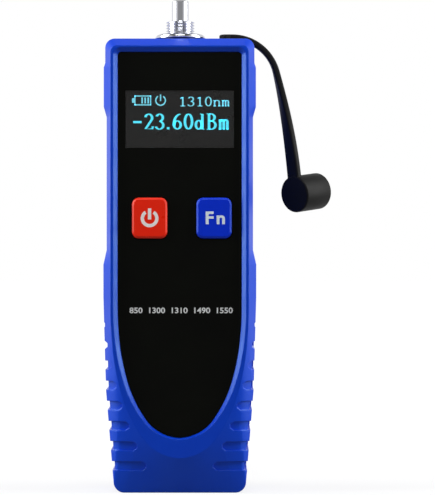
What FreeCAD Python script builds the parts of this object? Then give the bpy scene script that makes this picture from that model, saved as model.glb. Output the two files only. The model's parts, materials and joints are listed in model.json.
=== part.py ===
import FreeCAD, Part
import math
import os
import re
import Sketcher

# Handheld optical power meter: a rubber boot round a two-part housing, with a display, two keys,
# a 2.5 mm ferrule port with an M8 x 0.75 adapter thread, two AAA cells and a tethered dust cap.
# Millimetres. The meter stands on its foot: +Z runs up its length, the face looks along -Y.
# "Depth" below is measured towards the face, so a depth of d lies in the plane y = -d.

V = FreeCAD.Vector
doc = FreeCAD.newDocument("OpticalPowerMeter")

SIZES = {
    # Boot, outside
    "boot_length": (125.4, "foot to head of the boot"),
    "boot_front": (13.0, "depth of the crest round the panel"),
    "boot_back": (13.0, "distance of the boot's back behind the middle"),
    "foot_half": (18.3, "half width at the foot, above the corner"),
    "swell_half": (21.1, "half width where the palm holds"),
    "waist_half": (20.2, "half width of the waist"),
    "shoulder_half": (21.0, "half width of the shoulder"),
    "head_half": (20.6, "half width of the head"),
    "flank_start": (54.0, "height where the flanks start to taper to the foot"),
    "swell_top": (63.0, "height of the swell's upper end"),
    "swell_run": (4.0, "length of the step from swell to waist"),
    "shoulder_drop": (18.9, "distance of the shoulder's lower end below the boot's head"),
    "shoulder_run": (2.8, "length of the step from waist to shoulder"),
    "shoulder_end": (8.0, "distance of the shoulder's upper end below the boot's head"),
    "head_step": (1.2, "height of the step from the shoulder to the head"),
    "foot_corner": (3.0, "corner radius at the foot"),
    "head_corner": (2.6, "corner radius at the head"),
    "front_bevel": (3.8, "how far the front bevel reaches back"),
    "back_bevel": (2.6, "bevel round the back"),
    # Crest and panel opening
    "crest_half": (19.0, "half width of the crest's outer line"),
    "crest_margin": (2.2, "crest line below the boot's head"),
    "crest_corner": (1.8, "corner radius of the crest's outer line"),
    "crest_foot": (9.8, "height of the crest line's lowest point"),
    "bevel_width": (1.25, "width of the bevel down to the panel at the sides"),
    "bevel_foot": (0.35, "width of that bevel at the foot of the panel"),
    "tongue_start": (51.6, "height where the panel's sides start to round in"),
    "tongue_power": (2.12, "fullness of the panel's rounded end, 2 is an ellipse"),
    "panel_half": (17.05, "half width of the panel opening"),
    "panel_drop": (3.9, "distance of the panel's top below the boot's head"),
    "panel_foot": (15.3, "height of the panel opening's lowest point"),
    "panel_corner": (1.0, "corner radius at the panel's top"),
    "panel_recess": (1.1, "how far the panel lies below the crest"),
    "panel_thickness": (2.0, "thickness of the panel"),
    # Grip grooves
    "groove_low": (7.5, "height of the lowest groove's middle"),
    "groove_pitch": (5.55, "distance between the grooves"),
    "groove_count": (8, "grooves on each side"),
    "groove_width": (2.5, "height of a groove"),
    "groove_nose": (1.0, "length of the slanted corners at a groove's inner end"),
    "groove_slant": (0.75, "height of the slanted corners at a groove's inner end"),
    "groove_depth": (0.75, "depth of a groove"),
    "groove_reach": (9.2, "half distance between the lowest grooves' ends"),
    "groove_flare": (0.47, "how fast the grooves' ends run apart"),
    "groove_curve": (0.0045, "how much that run bends back"),
    "groove_back": (9.5, "distance the grooves reach behind the middle"),
    # Housing
    "boot_gap": (0.1, "play between boot and housing"),
    "housing_half": (18.2, "half width of the housing"),
    "housing_foot_half": (16.2, "half width of the housing's foot"),
    "housing_foot": (2.3, "height of the housing's foot"),
    "head_wall": (2.0, "wall of the boot over the housing's head"),
    "housing_corner": (2.5, "corner radius of the housing"),
    "housing_back": (11.2, "distance of the housing's back behind the middle"),
    "shell_wall": (1.8, "wall of both shells"),
    "front_skin": (1.4, "least thickness of the boot over the housing's front"),
    "platform_margin": (3.6, "how far the housing's raised front reaches below the panel"),
    # Battery bay and door
    "cell_radius": (5.25, "AAA cell radius"),
    "cell_length": (44.5, "AAA cell length over its button"),
    "cell_gap": (0.35, "play round the cells"),
    "bay_foot": (14.0, "height of the battery bay's lower end"),
    "spring_room": (4.2, "height of a contact leaf as fitted"),
    "leaf_half": (3.6, "half length of a contact leaf"),
    "leaf_crown": (0.9, "half length of the leaf's flat crown"),
    "leaf_width": (4.0, "width of a contact leaf"),
    "leaf_free_end": (0.45, "height of the leaf's free end, as a share of the whole"),
    "contact_sheet": (0.4, "thickness of a contact plate"),
    "contact_half": (4.0, "half width of a contact plate"),
    "contact_tab_half": (1.2, "half width of a contact's tab"),
    "rib_height": (0.6, "height of the rib that meets a cell's button"),
    "rib_half": (1.2, "half side of that rib"),
    "button_radius": (1.9, "radius of a cell's button"),
    "button_height": (0.9, "height of a cell's button"),
    "bay_wall": (1.3, "wall of the battery bay"),
    "collar_height": (1.4, "how far the door's collar stands behind the housing"),
    "collar_wall": (1.5, "wall of the door's collar"),
    "door_gap": (0.25, "play round the battery door"),
    "door_ledge": (1.9, "width of the ledge that the door lies on"),
    "door_thickness": (1.7, "thickness of the battery door"),
    "door_corner": (2.0, "corner radius of the battery door"),
    "tab_width": (5.0, "width of a door tab"),
    "tab_reach": (1.6, "how far a tab reaches under its lip"),
    "tab_thickness": (0.8, "thickness of a door tab"),
    "tab_spread": (7.5, "distance of each tab from the middle"),
    "tab_room": (1.1, "room in front of a tab, in which it turns as the door opens"),
    "door_edge": (1.2, "edge left above the door's thumb notch"),
    "notch_corner": (1.1, "corner radius of the thumb notch, half its height"),
    "rib_pitch": (1.6, "distance between the grip lines under the notch"),
    "rib_depth": (0.5, "depth of those grip lines"),
    # Display
    "window_half": (14.9, "half width of the display window"),
    "window_height": (15.8, "height of the display window"),
    "window_drop": (10.6, "distance of the window below the panel's top"),
    "glass_margin": (1.5, "how far the display glass reaches past the window"),
    "glass_thickness": (1.5, "thickness of the display glass"),
    "holder_rim": (0.5, "how far the holder's rim reaches into the window"),
    "fit_gap": (0.1, "play of pieces that are held still"),
    "overlap": (0.1, "how far a pad runs into its wall, or a cut out of it"),
    "run_out": (1.0, "how far a cut starts outside the body"),
    "blind_end": (1.0, "wall left at the end of a case screw's hole"),
    # Main board
    "board_front": (4.8, "depth of the board's front"),
    "board_thickness": (1.6, "thickness of the main board"),
    "board_half": (15.3, "half width of the main board"),
    "board_overlap": (2.1, "how far the board reaches down past the bay's upper end"),
    "board_drop": (10.8, "distance of the board below the housing's head"),
    "controller_side": (7.0, "side of the controller chip"),
    "chip_long": (5.0, "long side of the two small chips"),
    "chip_short": (4.0, "short side of the two small chips"),
    "chip_thickness": (1.2, "thickness of the chips"),
    "coil_radius": (2.4, "radius of the supply's coil"),
    "coil_height": (2.0, "height of the supply's coil"),
    "controller_rise": (9.0, "distance from the supply up to the controller"),
    "amplifier_drop": (9.0, "distance of the amplifier below the board's upper edge"),
    "supply_rise": (11.9, "distance of the supply's coil and the memory above the bay"),
    # Keys
    "key_width": (9.7, "width of a key"),
    "key_height": (11.2, "height of a key"),
    "key_corner": (1.9, "corner radius of a key"),
    "key_drop": (19.3, "distance of the keys' middle below the window"),
    "power_key_across": (-8.25, "place of the power key across the face"),
    "fn_key_across": (9.45, "place of the function key across the face"),
    "key_proud": (0.75, "how far a key stands above the panel"),
    "key_gap": (0.15, "play round a key"),
    "key_travel": (0.5, "travel of a key"),
    "key_flange": (1.0, "width and thickness of the flange that holds a key in"),
    "key_bevel": (0.55, "bevel round a key's face"),
    "key_bevel_rise": (0.385, "height of the bevel round a key's face"),
    "switch_side": (6.0, "side of a tactile switch"),
    "switch_height": (1.4, "height of a switch's can"),
    "plunger_radius": (1.6, "radius of a switch's plunger"),
    "plunger_length": (1.0, "length of a switch's plunger"),
    # Optical port
    "boss_radius": (6.6, "radius of the boss under the port's nut"),
    "boss_rise": (0.6, "how far the port's boss stands out of the boot"),
    "barrel_radius": (4.0, "radius of the M8 thread"),
    "thread_length": (3.3, "length of the barrel past the nut"),
    "shank_radius": (4.5, "radius of the port's shank in the boss"),
    "collar_radius": (6.0, "radius of the collar under the wall"),
    "collar_thickness": (1.6, "thickness of that collar"),
    "spigot_radius": (3.8, "radius of the spigot that holds the detector"),
    "barrel_length": (17.7, "length of the whole barrel"),
    "tube_radius": (2.38, "outer radius of the ferrule tube"),
    "tube_reach": (5.8, "length of the ferrule tube past the barrel"),
    "tube_length": (18.3, "length of the ferrule tube"),
    "sleeve_radius": (1.62, "outer radius of the split sleeve"),
    "sleeve_bore": (1.26, "bore radius of the split sleeve"),
    "sleeve_length": (11.4, "length of the split sleeve"),
    "sleeve_slit": (0.5, "width of the sleeve's slit"),
    "seat_gap": (0.02, "play of the port's metal pieces on one another"),
    "lip_length": (0.8, "length of the lip that keeps the sleeve in the tube"),
    "lip_gap": (0.05, "how much wider than the sleeve's bore the mouth's narrow end is"),
    "light_step": (0.3, "how much narrower than the sleeve's bore the light's way is"),
    "tube_bevel": (0.25, "bevel and flare at the tube's mouth"),
    "nut_radius": (7.15, "radius of the port's domed nut"),
    "nut_rim": (0.55, "height of the nut's rim"),
    "nut_height": (1.6, "height of the domed nut"),
    "nut_slope": (1.2, "width of the nut's crown"),
    "neck_radius": (3.55, "radius of the barrel's neck in the nut and just above it"),
    "neck_relief": (0.15, "length of the neck above the nut"),
    "barrel_bevel": (0.4, "bevel at the thread's end"),
    "detector_radius": (2.35, "radius of the photodiode's can"),
    "detector_height": (3.6, "height of the photodiode's can"),
    "lead_half": (0.23, "half width of a lead"),
    "lead_pitch": (1.8, "distance between leads"),
    # Screws
    "screw_radius": (1.0, "radius of a screw's thread"),
    "screw_head": (1.9, "radius of a screw's head"),
    "screw_head_height": (1.1, "height of a screw's head"),
    "screw_sink": (2.2, "depth of the case screws' counterbores"),
    "screw_bite": (5.0, "how far a case screw reaches into the front shell"),
    "post_half": (2.5, "half side of a case screw's post"),
    "board_post_side": (4.6, "side of a board screw's post"),
    "post_drop": (7.8, "distance of the upper case screws below the housing's head"),
    "post_top_half": (13.6, "half distance between the upper case screws"),
    "post_foot_level": (8.0, "height of the lower case screws"),
    "post_foot_half": (11.6, "half distance between the lower case screws"),
    "board_post_half": (12.6, "half distance between the board screws"),
    "board_post_rise": (3.6, "distance of the lower board screw above the board's edge"),
    "board_post_drop": (24.0, "distance of the upper board screw below the board's edge"),
    # Dust cap and its tether
    "stud_across": (13.0, "place of the tether's stud across the head"),
    "stud_radius": (1.5, "radius of the stud"),
    "stud_gap": (0.1, "play round the stud"),
    "stud_foot_radius": (2.1, "radius of the stud's inner head"),
    "tether_width": (4.2, "width of the tether"),
    "tether_thickness": (1.7, "thickness of the tether"),
    "tether_lift": (0.15, "play between tether and boot"),
    "tether_flat": (1.6, "straight run past the stud before the tether bends"),
    "tether_bend": (12.6, "radius of the tether's bend"),
    "tether_lean": (9.4, "degrees that the hanging tether leans out"),
    "tether_drop": (31.6, "length of the hanging tether to the cap's middle"),
    "tether_twist": (46.0, "degrees that the tether turns before it meets the cap"),
    "swing_angle": (20.0, "degrees that the tether swings each way"),
    "tether_spread": (30.0, "degrees that half the tether takes up round the stud where it bends"),
    "cap_radius": (5.1, "outer radius of the dust cap"),
    "cap_length": (10.2, "length of the dust cap"),
    "cap_bore": (4.02, "bore radius of the dust cap"),
    "cap_end_wall": (1.2, "thickness of the cap's closed end"),
    "cap_bevel": (0.4, "bevel round both ends of the cap"),
    "cap_overhang": (0.15, "how far the cap's closed end stands past the tether's inner side"),
    "cap_shift": (2.04, "how far the cap's middle lies below the tether's end"),
    "strap_bevel": (0.4, "bevel along the tether's edges"),
}

sheet = doc.addObject("Spreadsheet::Sheet", "Sizes")
for row, (alias, (number, meaning)) in enumerate(SIZES.items(), start=1):
    sheet.set("A%d" % row, meaning)
    sheet.set("B%d" % row, str(number))
    sheet.setAlias("B%d" % row, alias)
doc.recompute()


# ---------------------------------------------------------------- formulas over the sheet

# Named sums of sizes, written once and used in many pieces.
FORMULAS = {
    "shoulder_foot": "(boot_length - shoulder_drop)",
    "shoulder_top": "(boot_length - shoulder_end)",
    "housing_top": "(boot_length - head_wall)",
    "panel_top": "(boot_length - panel_drop)",
    "window_high": "(panel_top - window_drop)",
    "window_low": "(window_high - window_height)",
    "key_level": "(window_low - key_drop)",
    "board_high": "(housing_top - board_drop)",
    "board_low": "min(bay_top - board_overlap; key_level - key_height)",
    "supply_level": "(bay_top + supply_rise)",
    "controller_level": "(supply_level + controller_rise)",
    "amplifier_level": "(board_high - amplifier_drop)",
    "board_post_low": "(board_low + board_post_rise)",
    "board_post_high": "(board_high - board_post_drop)",
    "post_top_level": "(housing_top - post_drop)",
    "boss_top": "(boot_length + boss_rise)",
    "nut_top": "(boss_top + nut_height)",
    "barrel_top": "(nut_top + thread_length)",
    "spigot_foot": "(barrel_top - barrel_length)",
    "tube_top": "(barrel_top + tube_reach)",
    "tube_foot": "(tube_top - tube_length)",
    "waist_top": "(shoulder_foot - shoulder_run)",
    "swell_end": "(swell_top + swell_run)",
    "head_foot": "(shoulder_top + head_step)",
    "bevel_start": "(boot_front - front_bevel)",
    "base_front": "(bevel_start - front_skin)",
    "base_inside": "(base_front - shell_wall)",
    "platform_foot": "(panel_foot - platform_margin)",
    "crest_top": "(boot_length - crest_margin)",
    "panel_face": "(boot_front - panel_recess)",
    "housing_front": "(panel_face - panel_thickness)",
    "front_inside": "(housing_front - shell_wall)",
    "back_inside": "(shell_wall - housing_back)",
    "roof": "(housing_top - shell_wall)",
    "bay_length": "(cell_length + spring_room + 2 * contact_sheet + rib_height)",
    "bay_top": "(bay_foot + bay_length)",
    "bay_half": "(2 * cell_radius + 1.5 * cell_gap)",
    "door_outside": "(-housing_back - collar_height)",
    "door_inside": "(door_outside + door_thickness)",
    "door_low": "(bay_foot - door_ledge)",
    "door_high": "(bay_top + door_ledge)",
    "door_half": "(bay_half + door_ledge)",
    "cell_depth": "(door_inside + cell_gap + cell_radius)",
    "bay_floor": "(cell_depth + cell_radius + cell_gap)",
    "cell_across": "(cell_radius + cell_gap / 2)",
    "board_back": "(board_front - board_thickness)",
    "key_face": "(panel_face + key_proud)",
    "key_stem_end": "(board_front + switch_height + plunger_length / 2)",
    "glass_front": "(housing_front - fit_gap)",
    "glass_back": "(glass_front - glass_thickness)",
    "bend_across": "(stud_across + tether_flat)",
    "bend_level": "(boot_length + tether_lift + tether_thickness / 2 - tether_bend)",
}


def linked(formula):
    """The formula with every named sum opened and every size pointed at the sheet."""
    text = str(formula)
    while any(re.search(r"\b%s\b" % name, text) for name in FORMULAS):
        for name, meaning in FORMULAS.items():
            text = re.sub(r"\b%s\b" % name, meaning, text)
    return re.sub(r"\b[a-z][a-z_0-9]*\b",
                  lambda word: "Sizes." + word.group() if word.group() in SIZES else word.group(), text)


gauge = doc.addObject("App::FeaturePython", "Gauge")


def value(formula):
    """The present value of a formula."""
    return float(gauge.evalExpression(linked(formula)))


def bind(thing, prop, formula):
    """Binds a property to a formula over the sheet."""
    thing.setExpression(prop, linked(formula))


# ---------------------------------------------------------------- sketches and features

def new_body(label):
    body = doc.addObject("PartDesign::Body", label)
    body.Label = label
    return body


def new_sketch(body, role, offset="0"):
    """A sketch on one of the body's own planes, moved along that plane's normal."""
    plane = next(item for item in body.Origin.OriginFeatures if item.Role == role)
    sketch = body.newObject("Sketcher::SketchObject", body.Name + "_sketch")
    sketch.AttachmentSupport = (plane, [""])
    sketch.MapMode = "FlatFace"
    bind(sketch, "AttachmentOffset.Base.z", offset)
    return sketch


def point_ties(geometry, place, x, y):
    """Constraints that tie a point of a sketch to two formulas, each with its formula."""
    ties = []
    for kind, formula, axis in (("DistanceX", x, -2), ("DistanceY", y, -1)):
        if str(formula) == "0":
            ties.append((Sketcher.Constraint("PointOnObject", geometry, place, axis), None))
        else:
            ties.append((Sketcher.Constraint(kind, geometry, place, value(formula)), formula))
    return ties


def tie(sketch, ties):
    """Adds the constraints and binds those that have a formula."""
    rows = sketch.addConstraint([constraint for constraint, formula in ties])
    for row, (constraint, formula) in zip(rows, ties):
        if formula is not None:
            bind(sketch, "Constraints[%d]" % row, formula)


def arc_between(start, end, radius):
    """Centre of the short arc from start to end: left of the way for a positive radius."""
    chord = end - start
    height = math.sqrt(max(radius ** 2 - chord.Length ** 2 / 4, 0))
    left = V(-chord.y, chord.x, 0).normalize()
    return (start + end) * 0.5 + left * (height if radius > 0 else -height)


def centre_through(start, middle, end):
    """Centre of the circle through three points."""
    one, two = middle - start, end - start
    normal = one.cross(two)
    offset = (two * one.Length ** 2 - one * two.Length ** 2).cross(normal)
    return start + offset * (0.5 / normal.Length ** 2)


def draw(sketch, points):
    """A closed loop. Each entry is (x, y) and starts a straight side, (x, y, radius) and starts an
    arc, or (x, y, via_x, via_y) and starts an arc through that point."""
    spots = [V(value(entry[0]), value(entry[1]), 0) for entry in points]
    joints = []
    for index, entry in enumerate(points):
        start, end = spots[index], spots[(index + 1) % len(spots)]
        if len(entry) == 2:
            geometry = sketch.addGeometry(Part.LineSegment(start, end))
            joints.append((geometry, 1, 2))
            continue
        if len(entry) == 3:
            centre = arc_between(start, end, value(entry[2]))
            leftward = value(entry[2]) > 0
        else:
            middle = V(value(entry[2]), value(entry[3]), 0)
            centre = centre_through(start, middle, end)
            leftward = (middle - start).cross(end - middle).z > 0
        first, last = (start, end) if leftward else (end, start)
        angles = [math.atan2(spot.y - centre.y, spot.x - centre.x) for spot in (first, last)]
        if angles[1] < angles[0]:
            angles[1] += 2 * math.pi
        whole = Part.Circle(centre, V(0, 0, 1), (start - centre).Length)
        geometry = sketch.addGeometry(Part.ArcOfCircle(whole, *angles))
        joints.append((geometry, 1, 2) if leftward else (geometry, 2, 1))
    ties = []
    for index, (geometry, start_place, end_place) in enumerate(joints):
        following = joints[(index + 1) % len(joints)]
        meeting = Sketcher.Constraint("Coincident", geometry, end_place, following[0], following[1])
        ties.append((meeting, None))
        entry = points[index]
        ties += point_ties(geometry, start_place, entry[0], entry[1])
        if len(entry) == 3:
            size = entry[2] if value(entry[2]) > 0 else "-(%s)" % entry[2]
            ties.append((Sketcher.Constraint("Radius", geometry, value(size)), size))
        elif len(entry) == 4:
            spot = sketch.addGeometry(Part.Point(V(value(entry[2]), value(entry[3]), 0)), True)
            ties += point_ties(spot, 1, entry[2], entry[3])
            ties.append((Sketcher.Constraint("PointOnObject", spot, 1, geometry), None))
    tie(sketch, ties)
    return sketch


def circle(sketch, x, y, radius):
    """A circle tied to its centre and radius."""
    geometry = sketch.addGeometry(Part.Circle(V(value(x), value(y), 0), V(0, 0, 1), value(radius)))
    size = (Sketcher.Constraint("Radius", geometry, value(radius)), radius)
    tie(sketch, point_ties(geometry, 3, x, y) + [size])
    return sketch


def square(sketch, x, y, half):
    """A square round a middle."""
    return draw(sketch, box_points("%s - %s" % (x, half), "%s - %s" % (y, half), "%s + %s" % (x, half),
                                   "%s + %s" % (y, half)))


def box_points(x0, y0, x1, y1):
    return [(x0, y0), (x1, y0), (x1, y1), (x0, y1)]


def rounded_points(x0, y0, x1, y1, radius):
    """The loop of a rectangle with rounded corners."""
    x0, y0, x1, y1 = ("(%s)" % edge for edge in (x0, y0, x1, y1))
    return [(x0 + " + " + radius, y0), (x1 + " - " + radius, y0, radius),
            (x1, y0 + " + " + radius), (x1, y1 + " - " + radius, radius),
            (x1 + " - " + radius, y1), (x0 + " + " + radius, y1, radius),
            (x0, y1 + " - " + radius), (x0, y0 + " + " + radius, radius)]


def pad(body, sketch, length, backward=False):
    """Adds material from the sketch along its normal, or against it."""
    made = body.newObject("PartDesign::Pad", body.Name + "_pad")
    made.Profile = sketch
    bind(made, "Length", length)
    made.Reversed = backward
    doc.recompute()
    return made


def cut(body, sketch, length, forward=False):
    """Takes material from the sketch against its normal, or along it, and checks that it did."""
    before = body.Shape.Volume
    made = body.newObject("PartDesign::Pocket", body.Name + "_pocket")
    made.Profile = sketch
    bind(made, "Length", length)
    made.Reversed = forward
    doc.recompute()
    if body.Shape.Volume > before - 1e-6:
        raise ValueError("%s: a pocket took nothing away" % body.Label)
    return made


def turn(body, points, angle="360", start=None):
    """Revolves a profile of (radius, height) points about the body's Z axis."""
    sketch = draw(new_sketch(body, "XZ_Plane"), points)
    made = body.newObject("PartDesign::Revolution", body.Name + "_turned")
    made.Profile = sketch
    made.ReferenceAxis = (sketch, ["V_Axis"])
    bind(made, "Angle", angle)
    doc.recompute()
    return made


def loft(body, first, second, kind="AdditiveLoft"):
    """A ruled loft from one sketch to another with as many sides."""
    made = body.newObject("PartDesign::" + kind, body.Name + "_loft")
    made.Profile = first
    made.Sections = [second]
    made.Ruled = True
    doc.recompute()
    return made


def box_part(label, x0, x1, depth0, depth1, z0, z1):
    """A block between two places across, two depths (the second nearer the face) and two heights."""
    block = doc.addObject("Part::Box", label)
    bind(block, "Length", "(%s) - (%s)" % (x1, x0))
    bind(block, "Width", "(%s) - (%s)" % (depth1, depth0))
    bind(block, "Height", "(%s) - (%s)" % (z1, z0))
    bind(block, "Placement.Base.x", x0)
    bind(block, "Placement.Base.y", "-(%s)" % depth1)
    bind(block, "Placement.Base.z", z0)
    return block


def rod(label, radius, length, x, depth, z, upright=False):
    """A cylinder along Z, or one that starts at a depth and runs back, along +Y."""
    made = doc.addObject("Part::Cylinder", label)
    bind(made, "Radius", radius)
    bind(made, "Height", length)
    if not upright:
        made.Placement.Rotation = FreeCAD.Rotation(V(1, 0, 0), -90)
    bind(made, "Placement.Base.x", x)
    bind(made, "Placement.Base.y", "-(%s)" % depth)
    bind(made, "Placement.Base.z", z)
    return made


def joined(label, parts):
    made = doc.addObject("Part::MultiFuse", label)
    made.Shapes = parts
    made.Label = label
    return made


def less(label, base, tool):
    made = doc.addObject("Part::Cut", label)
    made.Base = base
    made.Tool = tool
    made.Label = label
    return made


NODES = {}


def keep(label, thing):
    """Hands the finished sub-part on under its node's name."""
    thing.Label = label
    NODES[label] = thing
    return thing


# ---------------------------------------------------------------- outlines of boot and housing

TONGUE_STATIONS = (0, 14, 32, 56, 90)
FLANK_STATIONS = (0, 0.5, 1)


def tongue_point(half, drop, angle):
    """A point of the rounded end, at an angle of its superellipse, right of the middle."""
    across = "(%s) * cos(%s)^(2 / tongue_power)" % (half, angle)
    level = "tongue_start - (%s) * sin(%s)^(2 / tongue_power)" % (drop, angle)
    return (across, level) if angle < 90 else ("0", "tongue_start - (%s)" % drop)


def flank_point(share, inset):
    """A point of the tapering flank, at a share of its height."""
    level = "(foot_corner + (flank_start - foot_corner) * %s)" % share
    across = "swell_half - (swell_half - foot_half) * (1 - %s)^2 - %s" % (share, inset)
    return (across, level)


def mirrored(points):
    """The left half of a loop whose right half runs up from the middle of the foot."""
    def flip(across):
        return "0" if str(across) == "0" else "-(%s)" % across

    left = []
    for index in range(len(points) - 1, 0, -1):
        spot, side = points[index], points[index - 1]
        left.append((flip(spot[0]), spot[1]) + tuple(
            flip(item) if len(side) == 4 and place == 0 else item for place, item in enumerate(side[2:])))
    return left


def boot_outline(inset="0"):
    """The boot seen from the front, counter-clockwise from the middle of its foot."""
    corner, crown = ("max(%s - %s; 0.5)" % (name, inset) for name in ("foot_corner", "head_corner"))
    foot, head = "(%s)" % inset, "(boot_length - %s)" % inset

    def wide(name):
        return "(%s - %s)" % (name, inset)

    right = [
        ("0", foot),
        (wide("foot_half") + " - " + corner, foot, corner),
        flank_point(FLANK_STATIONS[0], inset),
        flank_point(FLANK_STATIONS[1], inset),
        flank_point(FLANK_STATIONS[2], inset),
        (wide("swell_half"), "swell_top"),
        (wide("waist_half"), "swell_end"),
        (wide("waist_half"), "waist_top"),
        (wide("shoulder_half"), "shoulder_foot"),
        (wide("shoulder_half"), "shoulder_top"),
        (wide("head_half"), "head_foot"),
        (wide("head_half"), head + " - " + crown, crown),
        (wide("head_half") + " - " + crown, head),
        ("0", head),
    ]
    return right[:-1] + mirrored(right)


def tongue_outline(half, top, foot, corner, inset="0"):
    """The tongue shape of crest and panel, in as many sides as the boot's own outline."""
    half, drop = "(%s - %s)" % (half, inset), "(tongue_start - (%s) - %s)" % (foot, inset)
    corner, top = "(%s - %s)" % (corner, inset), "(%s - %s)" % (top, inset)
    right = []
    for low, high in zip(TONGUE_STATIONS[:0:-1], TONGUE_STATIONS[-2::-1]):
        right.append(tongue_point(half, drop, low) + tongue_point(half, drop, (low + high) / 2))
    right += [
        (half, "tongue_start"),
        (half, "swell_top"),
        (half, "swell_end"),
        (half, "waist_top"),
        (half, "shoulder_foot"),
        (half, "shoulder_top"),
        (half, "head_foot"),
        (half, top + " - " + corner, corner),
        (half + " - " + corner, top),
        ("0", top),
    ]
    return right[:-1] + mirrored(right)


def housing_outline(grow="0"):
    """The housing seen from the front."""
    wide, foot_wide = "(housing_half + %s)" % grow, "(housing_foot_half + %s)" % grow
    low, high = "(housing_foot - %s)" % grow, "(housing_top + %s)" % grow
    corner = "(housing_corner + %s)" % grow
    right = [
        ("0", low),
        (foot_wide + " - " + corner, low, corner),
        (foot_wide, low + " + " + corner),
        (wide, "tongue_start"),
        (wide, high + " - " + corner, corner),
        (wide + " - " + corner, high),
        ("0", high),
    ]
    return right[:-1] + mirrored(right)


def platform_outline(inset="0"):
    """The raised front of the housing, which carries the panel inside the boot's crest."""
    return tongue_outline("housing_half", "housing_top", "platform_foot", "housing_corner", inset)


# ---------------------------------------------------------------- the boot

def add_boot_form(body, inset="0"):
    """The boot's outer form: bevelled back, straight sides, and a front that runs in from the
    outline to the tongue-shaped crest."""
    back = draw(new_sketch(body, "XZ_Plane", "back_bevel - boot_back"), boot_outline(inset))
    pad(body, back, "bevel_start + boot_back - back_bevel")
    rear = draw(new_sketch(body, "XZ_Plane", "%s - boot_back" % inset),
                boot_outline("(back_bevel + %s)" % inset))
    loft(body, draw(new_sketch(body, "XZ_Plane", "back_bevel - boot_back"), boot_outline(inset)), rear)
    side = draw(new_sketch(body, "XZ_Plane", "bevel_start"), boot_outline(inset))
    crest = tongue_outline("crest_half", "crest_top", "crest_foot", "crest_corner", inset)
    loft(body, side, draw(new_sketch(body, "XZ_Plane", "boot_front - %s" % inset), crest))


def groove_slots():
    """Slots that run in from both sides, each with slanted corners at its inner end."""
    body = new_body("grip_slots")
    sketch = new_sketch(body, "XZ_Plane", "-groove_back")
    for row in range(int(value("groove_count"))):
        rise = "(%d * groove_pitch)" % row
        end = "(groove_reach + groove_flare * %s - groove_curve * %s^2)" % (rise, rise)
        low = "(groove_low + %s - groove_width / 2)" % rise
        high = "(groove_low + %s + groove_width / 2)" % rise
        outside = "(swell_half + groove_width)"
        right = [(outside, low), (outside, high), (end + " + groove_nose", high),
                 (end, high + " - groove_slant"), (end, low + " + groove_slant"),
                 (end + " + groove_nose", low)]
        draw(sketch, right)
        draw(sketch, [("-(%s)" % x, z) for x, z in reversed(right)])
    pad(body, sketch, "groove_back + boot_front + run_out")
    return body


def make_boot():
    body = new_body("boot_form")
    add_boot_form(body)
    # room for the housing
    cavity = draw(new_sketch(body, "XZ_Plane", "base_front + boot_gap"), housing_outline("boot_gap"))
    cut(body, cavity, "base_front + housing_back + 2 * boot_gap")
    cavity = draw(new_sketch(body, "XZ_Plane", "housing_front + boot_gap"), platform_outline("(-boot_gap)"))
    cut(body, cavity, "housing_front + boot_gap")
    # bevelled opening for the panel
    lip = ("panel_half + bevel_width", "panel_top + bevel_width", "panel_foot - bevel_foot",
           "(panel_corner + bevel_width)")
    opening = ("panel_half", "panel_top", "panel_foot", "panel_corner")
    face = draw(new_sketch(body, "XZ_Plane", "boot_front"), tongue_outline(*lip))
    seat = draw(new_sketch(body, "XZ_Plane", "panel_face"), tongue_outline(*opening))
    loft(body, face, seat, "SubtractiveLoft")
    seat = draw(new_sketch(body, "XZ_Plane", "panel_face"), tongue_outline(*opening))
    cut(body, seat, "panel_thickness")
    # window for the door's collar
    window = new_sketch(body, "XZ_Plane", "boot_gap - housing_back")
    margin = "(collar_wall + door_gap + boot_gap)"
    draw(window, rounded_points("-door_half - " + margin, "door_low - " + margin, "door_half + " + margin,
                                "door_high + " + margin, "(door_corner + %s)" % margin))
    cut(body, window, "boot_back")
    # openings in the head for the port's boss and for the tether's stud
    head = circle(new_sketch(body, "XY_Plane", "boot_length + run_out"), "0", "0", "boss_radius + boot_gap")
    cut(body, head, "boot_length + run_out - housing_top")
    stud = circle(new_sketch(body, "XY_Plane", "boot_length + run_out"), "stud_across", "0",
                  "stud_radius + stud_gap")
    cut(body, stud, "boot_length + run_out - housing_top")
    # hollow at the corner in which the tether swings
    add_tether_hollow(body)
    slots, core = groove_slots(), new_body("grip_core")
    add_boot_form(core, "groove_depth")
    keep("boot", less("boot_grooved", body, less("grip_skin", slots, core)))


def add_tether_hollow(body):
    """Takes away what lies outside the tether's bend, turned about the stud."""
    sketch = new_sketch(body, "XZ_Plane")
    radius = "(tether_bend - tether_thickness / 2 - 3 * tether_lift)"
    start = ("bend_across", "bend_level + " + radius)
    end = ("bend_across + %s * sin(90 - tether_lean)" % radius,
           "bend_level + %s * cos(90 - tether_lean)" % radius)
    beyond, above = "bend_across + 2 * tether_bend", "boot_length + tether_thickness"
    draw(sketch, [start, ("bend_across", above), (beyond, above), (beyond, end[1]),
                  end + ("bend_across + %s * sin(45)" % radius, "bend_level + %s * cos(45)" % radius)])
    low, high = ("stud_across", "bend_level"), ("stud_across", "boot_length")
    axis = sketch.addGeometry(Part.LineSegment(V(value(low[0]), value(low[1]), 0),
                                               V(value(high[0]), value(high[1]), 0)), True)
    tie(sketch, point_ties(axis, 1, *low) + point_ties(axis, 2, *high))
    before = body.Shape.Volume
    groove = body.newObject("PartDesign::Groove", "tether_hollow")
    groove.Profile = sketch
    groove.ReferenceAxis = (sketch, ["Axis0"])
    groove.Midplane = True
    bind(groove, "Angle", "2 * (swing_angle + tether_spread)")
    doc.recompute()
    if body.Shape.Volume > before - 1e-6:
        raise ValueError("the tether's hollow took nothing away")


# ---------------------------------------------------------------- housing

def case_screw_places():
    return [(side + half, level) for level, half in (("post_foot_level", "post_foot_half"),
                                                     ("post_top_level", "post_top_half"))
            for side in ("-", "")]


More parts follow.
